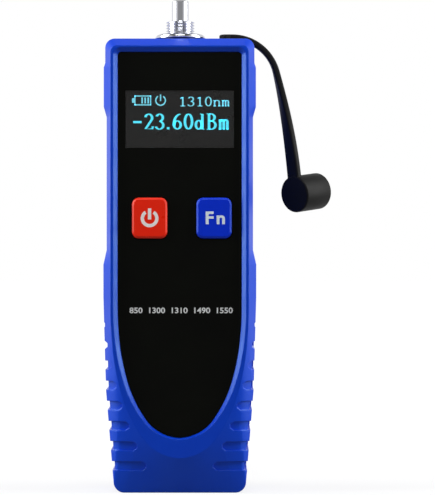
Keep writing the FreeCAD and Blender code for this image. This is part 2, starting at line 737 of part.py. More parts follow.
def board_screw_places():
    return [("-board_post_half", "board_post_high"), ("board_post_half", "board_post_low")]


def add_port_half(body, forward):
    """Half of the boss round the optical port, and the half holes for port and stud."""
    sketch = draw(new_sketch(body, "XZ_Plane"),
                  box_points("0", "housing_top - shell_wall / 2", "boss_radius", "boss_top"))
    made = body.newObject("PartDesign::Revolution", body.Name + "_boss")
    made.Profile = sketch
    made.ReferenceAxis = (sketch, ["V_Axis"])
    made.Angle = 180
    made.Reversed = forward
    doc.recompute()
    hole = circle(new_sketch(body, "XY_Plane", "boss_top + run_out"), "0", "0",
                  "shank_radius + fit_gap / 2")
    cut(body, hole, "boss_top + run_out - roof + overlap")
    stud = circle(new_sketch(body, "XY_Plane", "boss_top + run_out"), "stud_across", "0",
                  "stud_radius + stud_gap")
    cut(body, stud, "boss_top + run_out - roof + overlap")


def make_front_shell():
    body = new_body("front_shell")
    pad(body, draw(new_sketch(body, "XZ_Plane"), housing_outline()), "base_front")
    pad(body, draw(new_sketch(body, "XZ_Plane"), platform_outline()), "housing_front")
    inside = draw(new_sketch(body, "XZ_Plane", "base_inside"), housing_outline("(-shell_wall)"))
    cut(body, inside, "base_inside")
    inside = draw(new_sketch(body, "XZ_Plane", "front_inside"), platform_outline("shell_wall"))
    cut(body, inside, "front_inside")
    for x, z in case_screw_places():
        wall = "base_inside" if z == "post_foot_level" else "front_inside"
        pad(body, square(new_sketch(body, "XZ_Plane"), x, z, "post_half"), wall + " + overlap")
        cut(body, circle(new_sketch(body, "XZ_Plane", wall + " - blind_end / 2"), x, z, "screw_radius"),
            wall + " - blind_end / 2")
    for x, z in board_screw_places():
        pad(body, square(new_sketch(body, "XZ_Plane", "board_front"), x, z, "board_post_side / 2"),
            "front_inside + overlap - board_front")
        cut(body, circle(new_sketch(body, "XZ_Plane", "front_inside"), x, z, "screw_radius"),
            "front_inside - board_front")
    # openings for the display glass and the two keys
    glass = draw(new_sketch(body, "XZ_Plane", "housing_front"),
                 box_points(*window_edges("(glass_margin + fit_gap)")))
    cut(body, glass, "shell_wall + overlap")
    for x in ("power_key_across", "fn_key_across"):
        hole = draw(new_sketch(body, "XZ_Plane", "housing_front"), key_outline(x, "key_gap"))
        cut(body, hole, "shell_wall + overlap")
    add_port_half(body, True)
    keep("front_shell", body)


def make_rear_shell():
    body = new_body("rear_shell")
    pad(body, draw(new_sketch(body, "XZ_Plane", "-housing_back"), housing_outline()), "housing_back")
    inside = draw(new_sketch(body, "XZ_Plane"), housing_outline("(-shell_wall)"))
    cut(body, inside, "-back_inside")
    # battery bay: a tub with a floor, and a collar round the door
    wide, low, high = "bay_half + bay_wall", "bay_foot - bay_wall", "bay_top + bay_wall"
    tub = draw(new_sketch(body, "XZ_Plane", "back_inside - overlap"),
               box_points("-(%s)" % wide, low, wide, high))
    pad(body, tub, "bay_floor + bay_wall - back_inside + overlap")
    for x, z in case_screw_places():
        pad(body, square(new_sketch(body, "XZ_Plane", "back_inside - overlap"), x, z, "post_half"),
            "overlap - back_inside")
    rim = "(collar_wall + door_gap)"
    collar = draw(new_sketch(body, "XZ_Plane", "overlap - housing_back"),
                  rounded_points("-door_half - " + rim, "door_low - " + rim, "door_half + " + rim,
                                 "door_high + " + rim, "(door_corner + %s)" % rim))
    pad(body, collar, "collar_height + overlap", backward=True)
    seat = draw(new_sketch(body, "XZ_Plane", "door_inside"),
                rounded_points("-door_half - door_gap", "door_low - door_gap", "door_half + door_gap",
                               "door_high + door_gap", "(door_corner + door_gap)"))
    cut(body, seat, "door_thickness + overlap")
    bay = draw(new_sketch(body, "XZ_Plane", "bay_floor"),
               box_points("-bay_half", "bay_foot", "bay_half", "bay_top"))
    cut(body, bay, "bay_floor - door_inside + overlap")
    for x in ("-tab_spread", "tab_spread"):
        slot = draw(new_sketch(body, "XZ_Plane", "door_inside + tab_thickness + tab_room"),
                    box_points(x + " - tab_width / 2 - door_gap", "door_low - tab_reach - 2 * door_gap",
                               x + " + tab_width / 2 + door_gap", "bay_foot + overlap"))
        cut(body, slot, "tab_thickness + tab_room + door_gap")
    # slots in the bay's floor for the tabs of the upper contacts
    for x in ("-cell_across", "cell_across"):
        slot = draw(new_sketch(body, "XZ_Plane", "bay_floor + bay_wall + overlap"),
                    box_points(x + " - contact_tab_half - fit_gap", "bay_top - contact_sheet - fit_gap",
                               x + " + contact_tab_half + fit_gap", "bay_top"))
        cut(body, slot, "bay_wall + 2 * overlap")
    for x, z in case_screw_places():
        cut(body, circle(new_sketch(body, "XZ_Plane", "0"), x, z, "screw_radius + fit_gap"), "housing_back")
        sunk = new_sketch(body, "XZ_Plane", "screw_sink - housing_back")
        cut(body, circle(sunk, x, z, "screw_head + fit_gap"), "screw_sink")
    add_port_half(body, False)
    keep("rear_shell", body)


# ---------------------------------------------------------------- panel, display and keys

def key_outline(x, grow="0"):
    """A key seen from the front, grown or shrunk all round."""
    return rounded_points("%s - key_width / 2 - %s" % (x, grow), "key_level - key_height / 2 - %s" % grow,
                          "%s + key_width / 2 + %s" % (x, grow), "key_level + key_height / 2 + %s" % grow,
                          "(key_corner + %s)" % grow)


def make_panel():
    body = new_body("face_panel")
    outline = tongue_outline("panel_half", "panel_top", "panel_foot", "panel_corner", "fit_gap")
    pad(body, draw(new_sketch(body, "XZ_Plane", "housing_front"), outline), "panel_thickness")
    cut(body, draw(new_sketch(body, "XZ_Plane", "panel_face"), box_points(*window_edges("0"))),
        "panel_thickness")
    for x in ("power_key_across", "fn_key_across"):
        cut(body, draw(new_sketch(body, "XZ_Plane", "panel_face"), key_outline(x, "key_gap")),
            "panel_thickness")
    keep("face_panel", body)


def window_edges(margin):
    """Left, low, right and high edge of the window, grown by a margin."""
    return ("-window_half - " + margin, "window_low - " + margin, "window_half + " + margin,
            "window_high + " + margin)


def make_display():
    lens = new_body("display_window")
    pane = new_sketch(lens, "XZ_Plane", "housing_front")
    pad(lens, draw(pane, box_points(*window_edges("(-fit_gap / 2)"))), "panel_thickness")
    keep("display_window", lens)
    glass = new_body("oled_panel")
    pad(glass, draw(new_sketch(glass, "XZ_Plane", "glass_back"), box_points(*window_edges("glass_margin"))),
        "glass_thickness")
    keep("oled_panel", glass)
    holder = new_body("display_holder")
    outside = new_sketch(holder, "XZ_Plane", "board_front")
    pad(holder, draw(outside, box_points(*window_edges("glass_margin"))), "glass_back - board_front")
    inside = new_sketch(holder, "XZ_Plane", "glass_back")
    cut(holder, draw(inside, box_points(*window_edges("(-holder_rim)"))), "glass_back - board_front")
    keep("display_holder", holder)


def make_key(name, x):
    """A key with the flange that keeps it in, its switch and the switch's plunger."""
    body = new_body(name + "_button")
    flange_back = "(front_inside - fit_gap / 2 - key_flange)"
    flange = box_points("%s - key_width / 2 - key_flange" % x, "key_level - key_height / 2 - key_flange",
                        "%s + key_width / 2 + key_flange" % x, "key_level + key_height / 2 + key_flange")
    pad(body, draw(new_sketch(body, "XZ_Plane", flange_back), flange), "key_flange")
    pad(body, draw(new_sketch(body, "XZ_Plane", flange_back), key_outline(x)),
        "key_face - key_bevel_rise - " + flange_back)
    edge = draw(new_sketch(body, "XZ_Plane", "key_face - key_bevel_rise"), key_outline(x))
    loft(body, edge, draw(new_sketch(body, "XZ_Plane", "key_face"), key_outline(x, "(-key_bevel)")))
    stem = circle(new_sketch(body, "XZ_Plane", "key_stem_end"), x, "key_level", "plunger_radius")
    pad(body, stem, "%s - key_stem_end + overlap" % flange_back)
    keep(name + "_button", body)

    can = new_body(name + "_switch")
    edges = ("%s - switch_side / 2" % x, "key_level - switch_side / 2",
             "%s + switch_side / 2" % x, "key_level + switch_side / 2")
    pad(can, draw(new_sketch(can, "XZ_Plane", "board_front"), box_points(*edges)),
        "switch_height")
    well = circle(new_sketch(can, "XZ_Plane", "board_front + switch_height"), x, "key_level",
                  "plunger_radius + key_gap")
    cut(can, well, "plunger_length / 2 + key_travel + fit_gap")
    keep(name + "_switch", can)
    keep(name + "_plunger", rod(name + "_plunger", "plunger_radius", "plunger_length", x, "key_stem_end",
                                "key_level"))


# ---------------------------------------------------------------- board

def make_board():
    body = new_body("main_board")
    edges = ("-board_half", "board_low", "board_half", "board_high")
    pad(body, draw(new_sketch(body, "XZ_Plane", "board_back"), box_points(*edges)),
        "board_thickness")
    for x, z in board_screw_places():
        cut(body, circle(new_sketch(body, "XZ_Plane", "board_front"), x, z, "screw_radius + fit_gap"),
            "board_thickness")
    keep("main_board", body)
    chips = {"controller_chip": ("controller_side", "controller_side", "0", "controller_level"),
             "amplifier_chip": ("chip_long", "chip_short", "0", "amplifier_level"),
             "memory_chip": ("chip_short", "chip_long", "-board_half / 2", "supply_level")}
    for name, (width, height, x, z) in chips.items():
        block = box_part(name, "%s - %s / 2" % (x, width), "%s + %s / 2" % (x, width),
                         "board_back - chip_thickness", "board_back",
                         "%s - %s / 2" % (z, height), "%s + %s / 2" % (z, height))
        keep(name, block)
    keep("boost_coil", rod("boost_coil", "coil_radius", "coil_height", "board_half / 2", "board_back",
                           "supply_level"))


# ---------------------------------------------------------------- optical port

def make_port():
    bore = "tube_radius + seat_gap"
    barrel = new_body("threaded_barrel")
    turn(barrel, [
        (bore, "spigot_foot"), ("spigot_radius", "spigot_foot"),
        ("spigot_radius", "roof - collar_thickness"), ("collar_radius", "roof - collar_thickness"),
        ("collar_radius", "roof"), ("shank_radius", "roof"),
        ("shank_radius", "boss_top"), ("neck_radius", "boss_top"), ("neck_radius", "nut_top + neck_relief"),
        ("barrel_radius", "nut_top + neck_relief"), ("barrel_radius", "barrel_top - barrel_bevel"),
        ("barrel_radius - barrel_bevel", "barrel_top"), (bore, "barrel_top")])
    keep("threaded_barrel", barrel)

    nut = new_body("port_nut")
    hole = "neck_radius + seat_gap"
    turn(nut, [
        (hole, "boss_top"), ("nut_radius", "boss_top"), ("nut_radius", "boss_top + nut_rim"),
        (hole + " + nut_slope", "nut_top"), (hole, "nut_top")])
    keep("port_nut", nut)

    tube = new_body("ferrule_tube")
    lip, channel = "(sleeve_bore + lip_gap)", "(sleeve_bore - light_step)"
    seat = "(sleeve_radius + seat_gap)"
    seat_top = "(tube_top - lip_length)"
    seat_foot = "(tube_top - lip_length - sleeve_length - fit_gap)"
    turn(tube, [
        (channel, "tube_foot"), ("tube_radius", "tube_foot"), ("tube_radius", "tube_top - tube_bevel"),
        ("tube_radius - tube_bevel", "tube_top"), (lip + " + tube_bevel", "tube_top"),
        (lip, seat_top), (seat, seat_top), (seat, seat_foot), (channel, seat_foot)])
    keep("ferrule_tube", tube)

    outer = rod("sleeve_outside", "sleeve_radius", "sleeve_length", "0", "0", seat_foot, upright=True)
    inner = rod("sleeve_inside", "sleeve_bore", "sleeve_length", "0", "0", seat_foot, upright=True)
    slit = box_part("sleeve_slit", "-sleeve_slit / 2", "sleeve_slit / 2", "-sleeve_radius", "0", seat_foot,
                    seat_foot + " + sleeve_length")
    keep("split_sleeve", less("split_sleeve", outer, joined("sleeve_hollow", [inner, slit])))

    can_foot = "(spigot_foot + fit_gap)"
    parts = [rod("detector_can", "detector_radius", "detector_height", "0", "0", can_foot, upright=True)]
    level = "(board_high - 4 * lead_half)"
    for number, side in enumerate(("-", "")):
        x = "%slead_pitch / 2" % side
        sides = (x + " - lead_half", x + " + lead_half")
        parts.append(box_part("lead_down_%d" % number, *sides, "-lead_half", "lead_half", level, can_foot))
        parts.append(box_part("lead_in_%d" % number, *sides, "lead_half", "board_back", level,
                              level + " + 2 * lead_half"))
    keep("detector", joined("detector", parts))


# ---------------------------------------------------------------- battery bay

def make_cell(label, x, place, upward):
    """An AAA cell, its button up or down."""
    body = new_body(label)
    can = "(cell_length - button_height)"
    turn(body, [("0", "0"), ("cell_radius", "0"), ("cell_radius", can), ("button_radius", can),
                ("button_radius", "cell_length"), ("0", "cell_length")])
    if not upward:
        body.Placement.Rotation = FreeCAD.Rotation(V(1, 0, 0), 180)
    bind(body, "Placement.Base.x", x)
    bind(body, "Placement.Base.y", "-cell_depth")
    bind(body, "Placement.Base.z", place)
    keep(label, body)


def make_leaf(label, x, level, way):
    """The bowed leaf that presses on a cell's flat end: a bent strip that stands on its contact,
    upward for a way of "+" and downward for "-"."""
    def rise(height):
        return "%s %s (%s)" % (level, way, height)

    free = "spring_room * leaf_free_end"
    points = [
        ("-cell_depth - leaf_half", rise("0")),
        ("-cell_depth - leaf_crown", rise("spring_room")),
        ("-cell_depth + leaf_crown", rise("spring_room")),
        ("-cell_depth + leaf_half", rise(free)),
        ("-cell_depth + leaf_half", rise(free + " - 1.5 * contact_sheet")),
        ("-cell_depth + leaf_crown", rise("spring_room - contact_sheet")),
        ("-cell_depth - leaf_crown", rise("spring_room - contact_sheet")),
        ("-cell_depth - leaf_half + 1.5 * contact_sheet", rise("0")),
    ]
    body = new_body(label)
    pad(body, draw(new_sketch(body, "YZ_Plane", x + " - leaf_width / 2"), points), "leaf_width")
    keep(label, body)


def rib(label, x, level0, level1):
    """The pressed rib that meets a cell's button."""
    return box_part(label, x + " - rib_half", x + " + rib_half", "cell_depth - rib_half",
                    "cell_depth + rib_half", level0, level1)


def make_contacts():
    low = "(bay_foot + contact_sheet)"
    high = "(bay_top - contact_sheet)"
    depths = ("cell_depth - contact_half", "cell_depth + contact_half")
    strip = box_part("bridge_strip", "-cell_across - contact_half", "cell_across + contact_half", *depths,
                     "bay_foot", low)
    ridge = rib("bridge_rib", "cell_across", low, low + " + rib_height")
    keep("bridge_contact", joined("bridge_contact", [strip, ridge]))
    for label, x in (("positive_contact", "-cell_across"), ("negative_contact", "cell_across")):
        plate = box_part(label + "_plate", x + " - contact_half", x + " + contact_half", *depths, high,
                         "bay_top")
        tab = box_part(label + "_tab", x + " - contact_tab_half", x + " + contact_tab_half",
                       "cell_depth", "board_back", high, "bay_top")
        parts = [plate, tab]
        if label == "positive_contact":
            parts.append(rib(label + "_rib", x, high + " - rib_height", high))
        keep(label, joined(label, parts))
    make_cell("battery_cell_1", "-cell_across", low + " + spring_room", True)
    make_cell("battery_cell_2", "cell_across", low + " + rib_height + cell_length", False)
    make_leaf("lower_leaf", "-cell_across", low, "+")
    make_leaf("upper_leaf", "cell_across", high, "-")


def make_door():
    """The door, with two tabs at its foot and a thumb notch at its head."""
    body = new_body("battery_door")
    plate = draw(new_sketch(body, "XZ_Plane", "door_outside"),
                 rounded_points("-door_half", "door_low", "door_half", "door_high", "door_corner"))
    pad(body, plate, "door_thickness")
    for x in ("-tab_spread", "tab_spread"):
        tab = draw(new_sketch(body, "XZ_Plane", "door_inside"),
                   box_points(x + " - tab_width / 2", "door_low - tab_reach", x + " + tab_width / 2",
                              "bay_foot - fit_gap"))
        pad(body, tab, "tab_thickness")
    top = "door_high - door_edge"
    notch = draw(new_sketch(body, "XZ_Plane", "door_outside + door_thickness / 2"),
                 rounded_points("-tab_width", top + " - 2 * notch_corner", "tab_width", top,
                                "(notch_corner - fit_gap)"))
    cut(body, notch, "door_thickness")
    for row in range(1, 4):
        level = "(%s - 2 * notch_corner - %d * rib_pitch)" % (top, row)
        line = draw(new_sketch(body, "XZ_Plane", "door_outside + rib_depth"),
                    box_points("-tab_width", level, "tab_width", level + " + rib_pitch / 2"))
        cut(body, line, "2 * rib_depth")
    keep("battery_door", body)


# ---------------------------------------------------------------- fasteners

def screw_group(label, places, head_depth, length):
    """Screws that run towards the face, heads at the back: one node of separate solids."""
    screws = []
    for number, (x, z) in enumerate(places):
        shank = rod("%s_shank_%d" % (label, number), "screw_radius - seat_gap", length, x,
                    "%s + %s" % (head_depth, length), z)
        head = rod("%s_head_%d" % (label, number), "screw_head", "screw_head_height", x, head_depth, z)
        screws.append(joined("%s_%d" % (label, number), [shank, head]))
    group = doc.addObject("Part::Compound", label)
    group.Links = screws
    keep(label, group)


# ---------------------------------------------------------------- dust cap and tether

def strap_section(centre, across, outward):
    """The strap's cross-section: flat, with bevelled edges."""
    half, rise, nick = (value(size) for size in ("tether_width / 2", "tether_thickness / 2", "strap_bevel"))
    corners = [(half, rise - nick), (half - nick, rise), (nick - half, rise), (-half, rise - nick),
               (-half, nick - rise), (nick - half, -rise), (half - nick, -rise), (half, nick - rise)]
    points = [centre + across * x + outward * y for x, y in corners]
    return Part.makePolygon(points + points[:1])


def bevelled_rod(radius, length, bevel, place, direction):
    """A cylinder with both ends bevelled."""
    made = Part.makeCylinder(radius, length, place, direction)
    return made.makeChamfer(bevel, [edge for edge in made.Edges if len(edge.Vertexes) == 1])


def make_dust_cap():
    """Stud, tether and cap, moulded in one piece; the hanging tether turns its flat side to the
    front before it runs into the cap's closed end."""
    lean, twist = value("tether_lean"), value("tether_twist")
    thickness, drop = value("tether_thickness"), value("tether_drop")
    hub = V(value("bend_across"), 0, value("bend_level"))
    start = hub + V(0, 0, value("tether_bend"))
    # flat run over the head, then an exact quarter bend about the hub
    section = Part.Face(strap_section(start, V(0, 1, 0), V(0, 0, 1)))
    flat = section.extrude(V(-value("tether_flat"), 0, 0))
    bend = section.revolve(hub, V(0, 1, 0), 90 - lean)
    # the hanging run, turned about its own middle line
    fall = FreeCAD.Rotation(V(0, 1, 0), 90 - lean)
    down, side, outward = (fall.multVec(axis) for axis in (V(1, 0, 0), V(0, 1, 0), V(0, 0, 1)))
    corner = hub + outward * value("tether_bend")
    sections = []
    for share in (0, 1 / 3, 2 / 3, 1):
        turned = FreeCAD.Rotation(down, -twist * share)
        sections.append(strap_section(corner + down * (drop * share), turned.multVec(side),
                                      turned.multVec(outward)))
    hang = Part.makeLoft(sections, True, True)
    # the stud with its head above the boot and its inner head in the housing
    base, inside = value("boot_length + tether_lift"), value("roof - stud_gap")
    middle = V(value("stud_across"), 0, 0)
    head = bevelled_rod(value("tether_width / 2"), thickness, value("strap_bevel"),
                        middle + V(0, 0, base), V(0, 0, 1))
    pin = Part.makeCylinder(value("stud_radius"), base + thickness / 2 - inside, middle + V(0, 0, inside))
    foot = Part.makeCylinder(value("stud_foot_radius"), thickness, middle + V(0, 0, inside - thickness))
    # the cap stands across the strap's end, its closed end level with the strap's inner side
    turned = FreeCAD.Rotation(down, -twist)
    mouthward = turned.multVec(outward)
    closed = corner + down * (drop + value("cap_shift"))
    closed -= mouthward * value("cap_overhang + tether_thickness / 2")
    cap = bevelled_rod(value("cap_radius"), value("cap_length"), value("cap_bevel"), closed, mouthward)
    bore = Part.makeCylinder(value("cap_bore"), value("cap_length"),
                             closed + mouthward * value("cap_end_wall"), mouthward)
    made = doc.addObject("Part::Feature", "dust_cap")
    made.Shape = flat.fuse([bend, hang, head, pin, foot, cap]).cut(bore).removeSplitter()
    if len(made.Shape.Solids) != 1:
        raise ValueError("the dust cap is not in one piece")
    keep("dust_cap", made)


# ---------------------------------------------------------------- the whole meter

make_boot()
make_front_shell()
make_rear_shell()
make_panel()
make_display()
make_key("power", "power_key_across")
make_key("fn", "fn_key_across")
make_board()
make_port()
make_contacts()
make_door()
screw_group("case_screws", case_screw_places(), "(screw_sink - housing_back)",
            "(housing_back - screw_sink + screw_bite)")
screw_group("board_screws", board_screw_places(), "board_back", "(board_thickness + screw_bite / 2)")
make_dust_cap()
doc.recompute()

for item in doc.Objects:
    if "Invalid" in item.State or "Error" in item.State:
        raise ValueError("%s did not build: %s" % (item.Label, item.State))
os.makedirs("parts", exist_ok=True)
for label, item in NODES.items():
    if item.Shape.isNull() or not item.Shape.isValid():
        raise ValueError("%s has no valid shape" % label)
    item.Shape.exportStep("parts/%s.step" % label)
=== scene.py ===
import json
import math
from collections import Counter

import bmesh
import bpy
from mathutils import Matrix, Vector


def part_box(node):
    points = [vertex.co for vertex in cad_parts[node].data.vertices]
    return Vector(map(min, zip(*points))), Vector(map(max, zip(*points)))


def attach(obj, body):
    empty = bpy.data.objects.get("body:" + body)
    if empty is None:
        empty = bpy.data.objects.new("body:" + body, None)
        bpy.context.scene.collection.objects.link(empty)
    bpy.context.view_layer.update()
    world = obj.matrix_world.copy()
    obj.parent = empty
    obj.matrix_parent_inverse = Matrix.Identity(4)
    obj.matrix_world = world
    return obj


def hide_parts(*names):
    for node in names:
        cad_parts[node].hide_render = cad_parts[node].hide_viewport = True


# A handheld optical power meter that stands on a pale floor, seen from the front.
# Lengths are in metres, in the CAD frame: +Z up the meter, its face towards -Y.

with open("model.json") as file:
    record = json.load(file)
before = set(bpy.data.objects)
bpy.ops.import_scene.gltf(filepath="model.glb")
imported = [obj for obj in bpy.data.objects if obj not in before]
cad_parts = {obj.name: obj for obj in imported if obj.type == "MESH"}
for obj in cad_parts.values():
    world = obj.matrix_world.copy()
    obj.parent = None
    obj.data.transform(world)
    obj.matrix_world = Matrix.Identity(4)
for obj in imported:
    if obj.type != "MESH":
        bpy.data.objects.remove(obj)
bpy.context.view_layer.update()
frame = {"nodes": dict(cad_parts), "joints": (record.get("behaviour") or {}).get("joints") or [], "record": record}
NODES = frame["nodes"]
JOINTS = {joint["name"]: joint for joint in frame["joints"]}
MOUNTS = {mount["name"]: mount for mount in frame["record"]["mounts"]}
MM = 0.001

PANEL_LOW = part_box("face_panel")[0]
OLED_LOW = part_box("oled_panel")[0]
WINDOW_LOW, WINDOW_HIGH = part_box("display_window")
SHELL_WALL = 1.8 * MM
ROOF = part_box("front_shell")[1].z - SHELL_WALL  # inside of the housing's head


# ---------------------------------------------------------------- shader nodes

def material(name, color, roughness, metallic=0.0, specular=0.5):
    """A Principled material with its node tree, ready for procedural detail."""
    made = bpy.data.materials.new(name)
    made.use_nodes = True
    shader = made.node_tree.nodes["Principled BSDF"]
    shader.inputs["Base Color"].default_value = (*color, 1)
    shader.inputs["Roughness"].default_value = roughness
    shader.inputs["Metallic"].default_value = metallic
    shader.inputs["Specular IOR Level"].default_value = specular
    return made, shader


def new_node(tree, kind, **values):
    """A node with some inputs set: an underscore in a keyword stands for a space."""
    made = tree.nodes.new(kind)
    for name, value in values.items():
        made.inputs[name.replace("_", " ")].default_value = value
    return made


def feed(tree, socket, item):
    """Sets an input to a number, or links it to an output."""
    if isinstance(item, (int, float)):
        socket.default_value = item
    else:
        tree.links.new(item, socket)


def mapped(tree, value, start, end, low, high):
    """A value taken from one range to another, whose ends may be numbers or outputs."""
    spread = new_node(tree, "ShaderNodeMapRange", From_Min=start, From_Max=end)
    tree.links.new(value, spread.inputs["Value"])
    feed(tree, spread.inputs["To Min"], low)
    feed(tree, spread.inputs["To Max"], high)
    return spread.outputs["Result"]


def blended(tree, share, low, high):
    """A value between two others, which may be numbers or outputs."""
    mix = tree.nodes.new("ShaderNodeMix")
    tree.links.new(share, mix.inputs["Factor"])
    feed(tree, mix.inputs["A"], low)
    feed(tree, mix.inputs["B"], high)
    return mix.outputs["Result"]


def combined(tree, operation, *outputs):
    """The result of a Math node on one or two outputs."""
    made = tree.nodes.new("ShaderNodeMath")
    made.operation = operation
    for index, output in enumerate(outputs):
        tree.links.new(output, made.inputs[index])
    return made.outputs[0]


def noise(tree, size, detail, roughness=0.5, scale=(1, 1, 1)):
    """Patches of a size in the piece's own coordinates, drawn together by a scale."""
    place = tree.nodes.new("ShaderNodeTexCoord")
    stretch = tree.nodes.new("ShaderNodeMapping")
    stretch.inputs["Scale"].default_value = scale
    tree.links.new(place.outputs["Object"], stretch.inputs["Vector"])
    patches = new_node(tree, "ShaderNodeTexNoise", Scale=1 / size, Detail=detail,
                       Roughness=roughness)
    tree.links.new(stretch.outputs["Vector"], patches.inputs["Vector"])
    return patches.outputs["Fac"]


# ---------------------------------------------------------------- materials

NOISE_RANGE = (0.3, 0.7)  # where nearly all values of a noise lie
PATCH_RANGE = (0.35, 0.65)  # the part of it over which one colour turns into another
EDGE_SAMPLES = 6
COLOUR_PATCH, GLOSS_PATCH = 14 * MM, 6 * MM
METAL_GRAIN, METAL_RELIEF, METAL_EDGE, METAL_PATCH = 1.2 * MM, 0.004 * MM, 0.05 * MM, 2 * MM
TURNED_SCALE = (1, 1, 14)  # turning marks lie this much closer along the axis than round it
METAL_SPREAD = (0.04, 0.06)  # how much smoother and rougher than its middle a metal gets
LENS_PATCH, LENS_RELIEF = 9 * MM, 0.0004 * MM
DOT_SIZE, DOT_RANGE = 0.35 * MM, (0.85, 1.1)
INK_PATCH, INK_WEAR = 0.7 * MM, 0.9

BLUE_SHEEN = (0.45, 0.82, 1)
RED_SHEEN = (1, 0.7, 0.6)

# Two colours that blend into each other, then roughness. Grain, relief and edge are in
# millimetres: the size of a grain, how high it stands and the radius of an edge.
MOULDED = {
    "boot_rubber": dict(
        color=(0.0014, 0.048, 0.6), other=(0.0014, 0.043, 0.57), roughness=0.33,
        grain=0.16, relief=0.0015, edge=0.4, specular=0.45, wander=0.04, tint=BLUE_SHEEN),
    "black_abs": dict(
        color=(0.012, 0.012, 0.013), other=(0.016, 0.016, 0.017), roughness=0.5,
        grain=0.12, relief=0.008, edge=0.15),
    "panel_black": dict(
        color=(0.0034, 0.0038, 0.0026), other=(0.0028, 0.003, 0.0024), roughness=0.36,
        grain=0.09, relief=0.0008, edge=0.12, specular=0.08, wander=0.03),
    "oled_glass": dict(
        color=(0.0065, 0.0062, 0.0062), other=(0.0115, 0.0098, 0.009), roughness=0.3,
        grain=0.5, relief=0.0005, edge=0.05, wander=0.03),
    "holder_white": dict(
        color=(0.62, 0.62, 0.6), other=(0.58, 0.58, 0.55), roughness=0.5,
        grain=0.2, relief=0.005, edge=0.1),
    "key_red": dict(
        color=(0.95, 0.021, 0.003), other=(0.9, 0.018, 0.003), roughness=0.32,
        grain=0.14, relief=0.0012, edge=0.22, specular=0.4, tint=RED_SHEEN),
    "key_blue": dict(
        color=(0.0012, 0.029, 0.7), other=(0.0012, 0.026, 0.65), roughness=0.32,
        grain=0.14, relief=0.0012, edge=0.22, specular=0.4, tint=BLUE_SHEEN),
    "switch_black": dict(
        color=(0.02, 0.02, 0.02), other=(0.03, 0.03, 0.03), roughness=0.45,
        grain=0.1, relief=0.004, edge=0.08),
    "circuit_board": dict(
        color=(0.008, 0.09, 0.03), other=(0.006, 0.07, 0.025), roughness=0.4,
        grain=0.3, relief=0.01, edge=0.05),
    "chip_black": dict(
        color=(0.012, 0.012, 0.013), other=(0.02, 0.02, 0.02), roughness=0.55,
        grain=0.08, relief=0.005, edge=0.05),
    "ferrite": dict(
        color=(0.03, 0.03, 0.032), other=(0.045, 0.043, 0.042), roughness=0.6,
        grain=0.1, relief=0.012, edge=0.08),
    "ceramic": dict(
        color=(0.78, 0.77, 0.72), other=(0.74, 0.73, 0.69), roughness=0.2,
        grain=0.3, relief=0.001, edge=0.05),
    "cell_sleeve": dict(
        color=(0.05, 0.055, 0.07), other=(0.06, 0.065, 0.08), roughness=0.32,
        grain=0.5, relief=0.004, edge=0.15),
    "cap_rubber": dict(
        color=(0.0092, 0.0092, 0.0088), other=(0.0112, 0.0112, 0.0108), roughness=0.5,
        grain=0.14, relief=0.002, edge=0.1, specular=0.11),
}
METALS = {
    "nickel": dict(color=(0.78, 0.79, 0.84), roughness=0.09),
    "detector_can": dict(color=(0.55, 0.54, 0.5), roughness=0.22),
    "contact_nickel": dict(color=(0.6, 0.58, 0.53), roughness=0.28, turned=False),
    "screw_steel": dict(color=(0.25, 0.25, 0.26), roughness=0.35, turned=False),
}


def add_grain(made, shader, size, height, detail=3.0, scale=(1, 1, 1), edge=None):
    """A fine bump over rounded edges: grains of a size, raised by a height, both in metres."""
    tree = made.node_tree
    bump = new_node(tree, "ShaderNodeBump", Strength=1.0, Distance=height)
    grains = noise(tree, size, detail, roughness=0.6, scale=scale)
    tree.links.new(grains, bump.inputs["Height"])
    if edge:
        rounded = new_node(tree, "ShaderNodeBevel", Radius=edge)
        rounded.samples = EDGE_SAMPLES
        tree.links.new(rounded.outputs["Normal"], bump.inputs["Normal"])
    tree.links.new(bump.outputs["Normal"], shader.inputs["Normal"])


def add_variation(made, shader, base, other, size):
    """Blends the base colour towards another in soft patches of a size."""
    tree = made.node_tree
    ramp = tree.nodes.new("ShaderNodeValToRGB")
    for element, place, color in zip(ramp.color_ramp.elements, PATCH_RANGE, (base, other)):
        element.position = place
        element.color = (*color, 1)
    tree.links.new(noise(tree, size, detail=4.0, roughness=0.55), ramp.inputs["Fac"])
    tree.links.new(ramp.outputs["Color"], shader.inputs["Base Color"])


def add_roughness(made, shader, low, high, size):
    """Lets the roughness wander between two values in patches of a size."""
    tree = made.node_tree
    wandering = mapped(tree, noise(tree, size, detail=3.0), *NOISE_RANGE, low, high)
    tree.links.new(wandering, shader.inputs["Roughness"])


def moulded(name, color, other, roughness, grain, relief, edge, specular=0.5, wander=0.06,
            tint=(1, 1, 1)):
    """Moulded plastic or rubber: grain, soft edges, slight changes of colour and gloss."""
    made, shader = material(name, color, roughness, specular=specular)
    shader.inputs["Specular Tint"].default_value = (*tint, 1)
    add_grain(made, shader, grain * MM, relief * MM, edge=edge * MM)
    add_variation(made, shader, color, other, COLOUR_PATCH)
    add_roughness(made, shader, roughness - wander, roughness + wander, GLOSS_PATCH)
    return made


def metal(name, color, roughness, turned=True):
    """Plated metal, with faint marks round its axis if it is turned."""
    made, shader = material(name, color, roughness, metallic=1.0)
    add_grain(made, shader, METAL_GRAIN, METAL_RELIEF,
              scale=TURNED_SCALE if turned else (1, 1, 1), edge=METAL_EDGE)
    add_roughness(made, shader, roughness - METAL_SPREAD[0], roughness + METAL_SPREAD[1],
                  METAL_PATCH)
    return made


def window_glass():
    """Clear plastic over the display, very slightly uneven."""
    made, shader = material("display_lens", (0.7, 0.7, 0.69), 0.04)
    shader.inputs["Transmission Weight"].default_value = 1.0
    shader.inputs["IOR"].default_value = 1.45
    add_grain(made, shader, LENS_PATCH, LENS_RELIEF, detail=1.0)
    return made


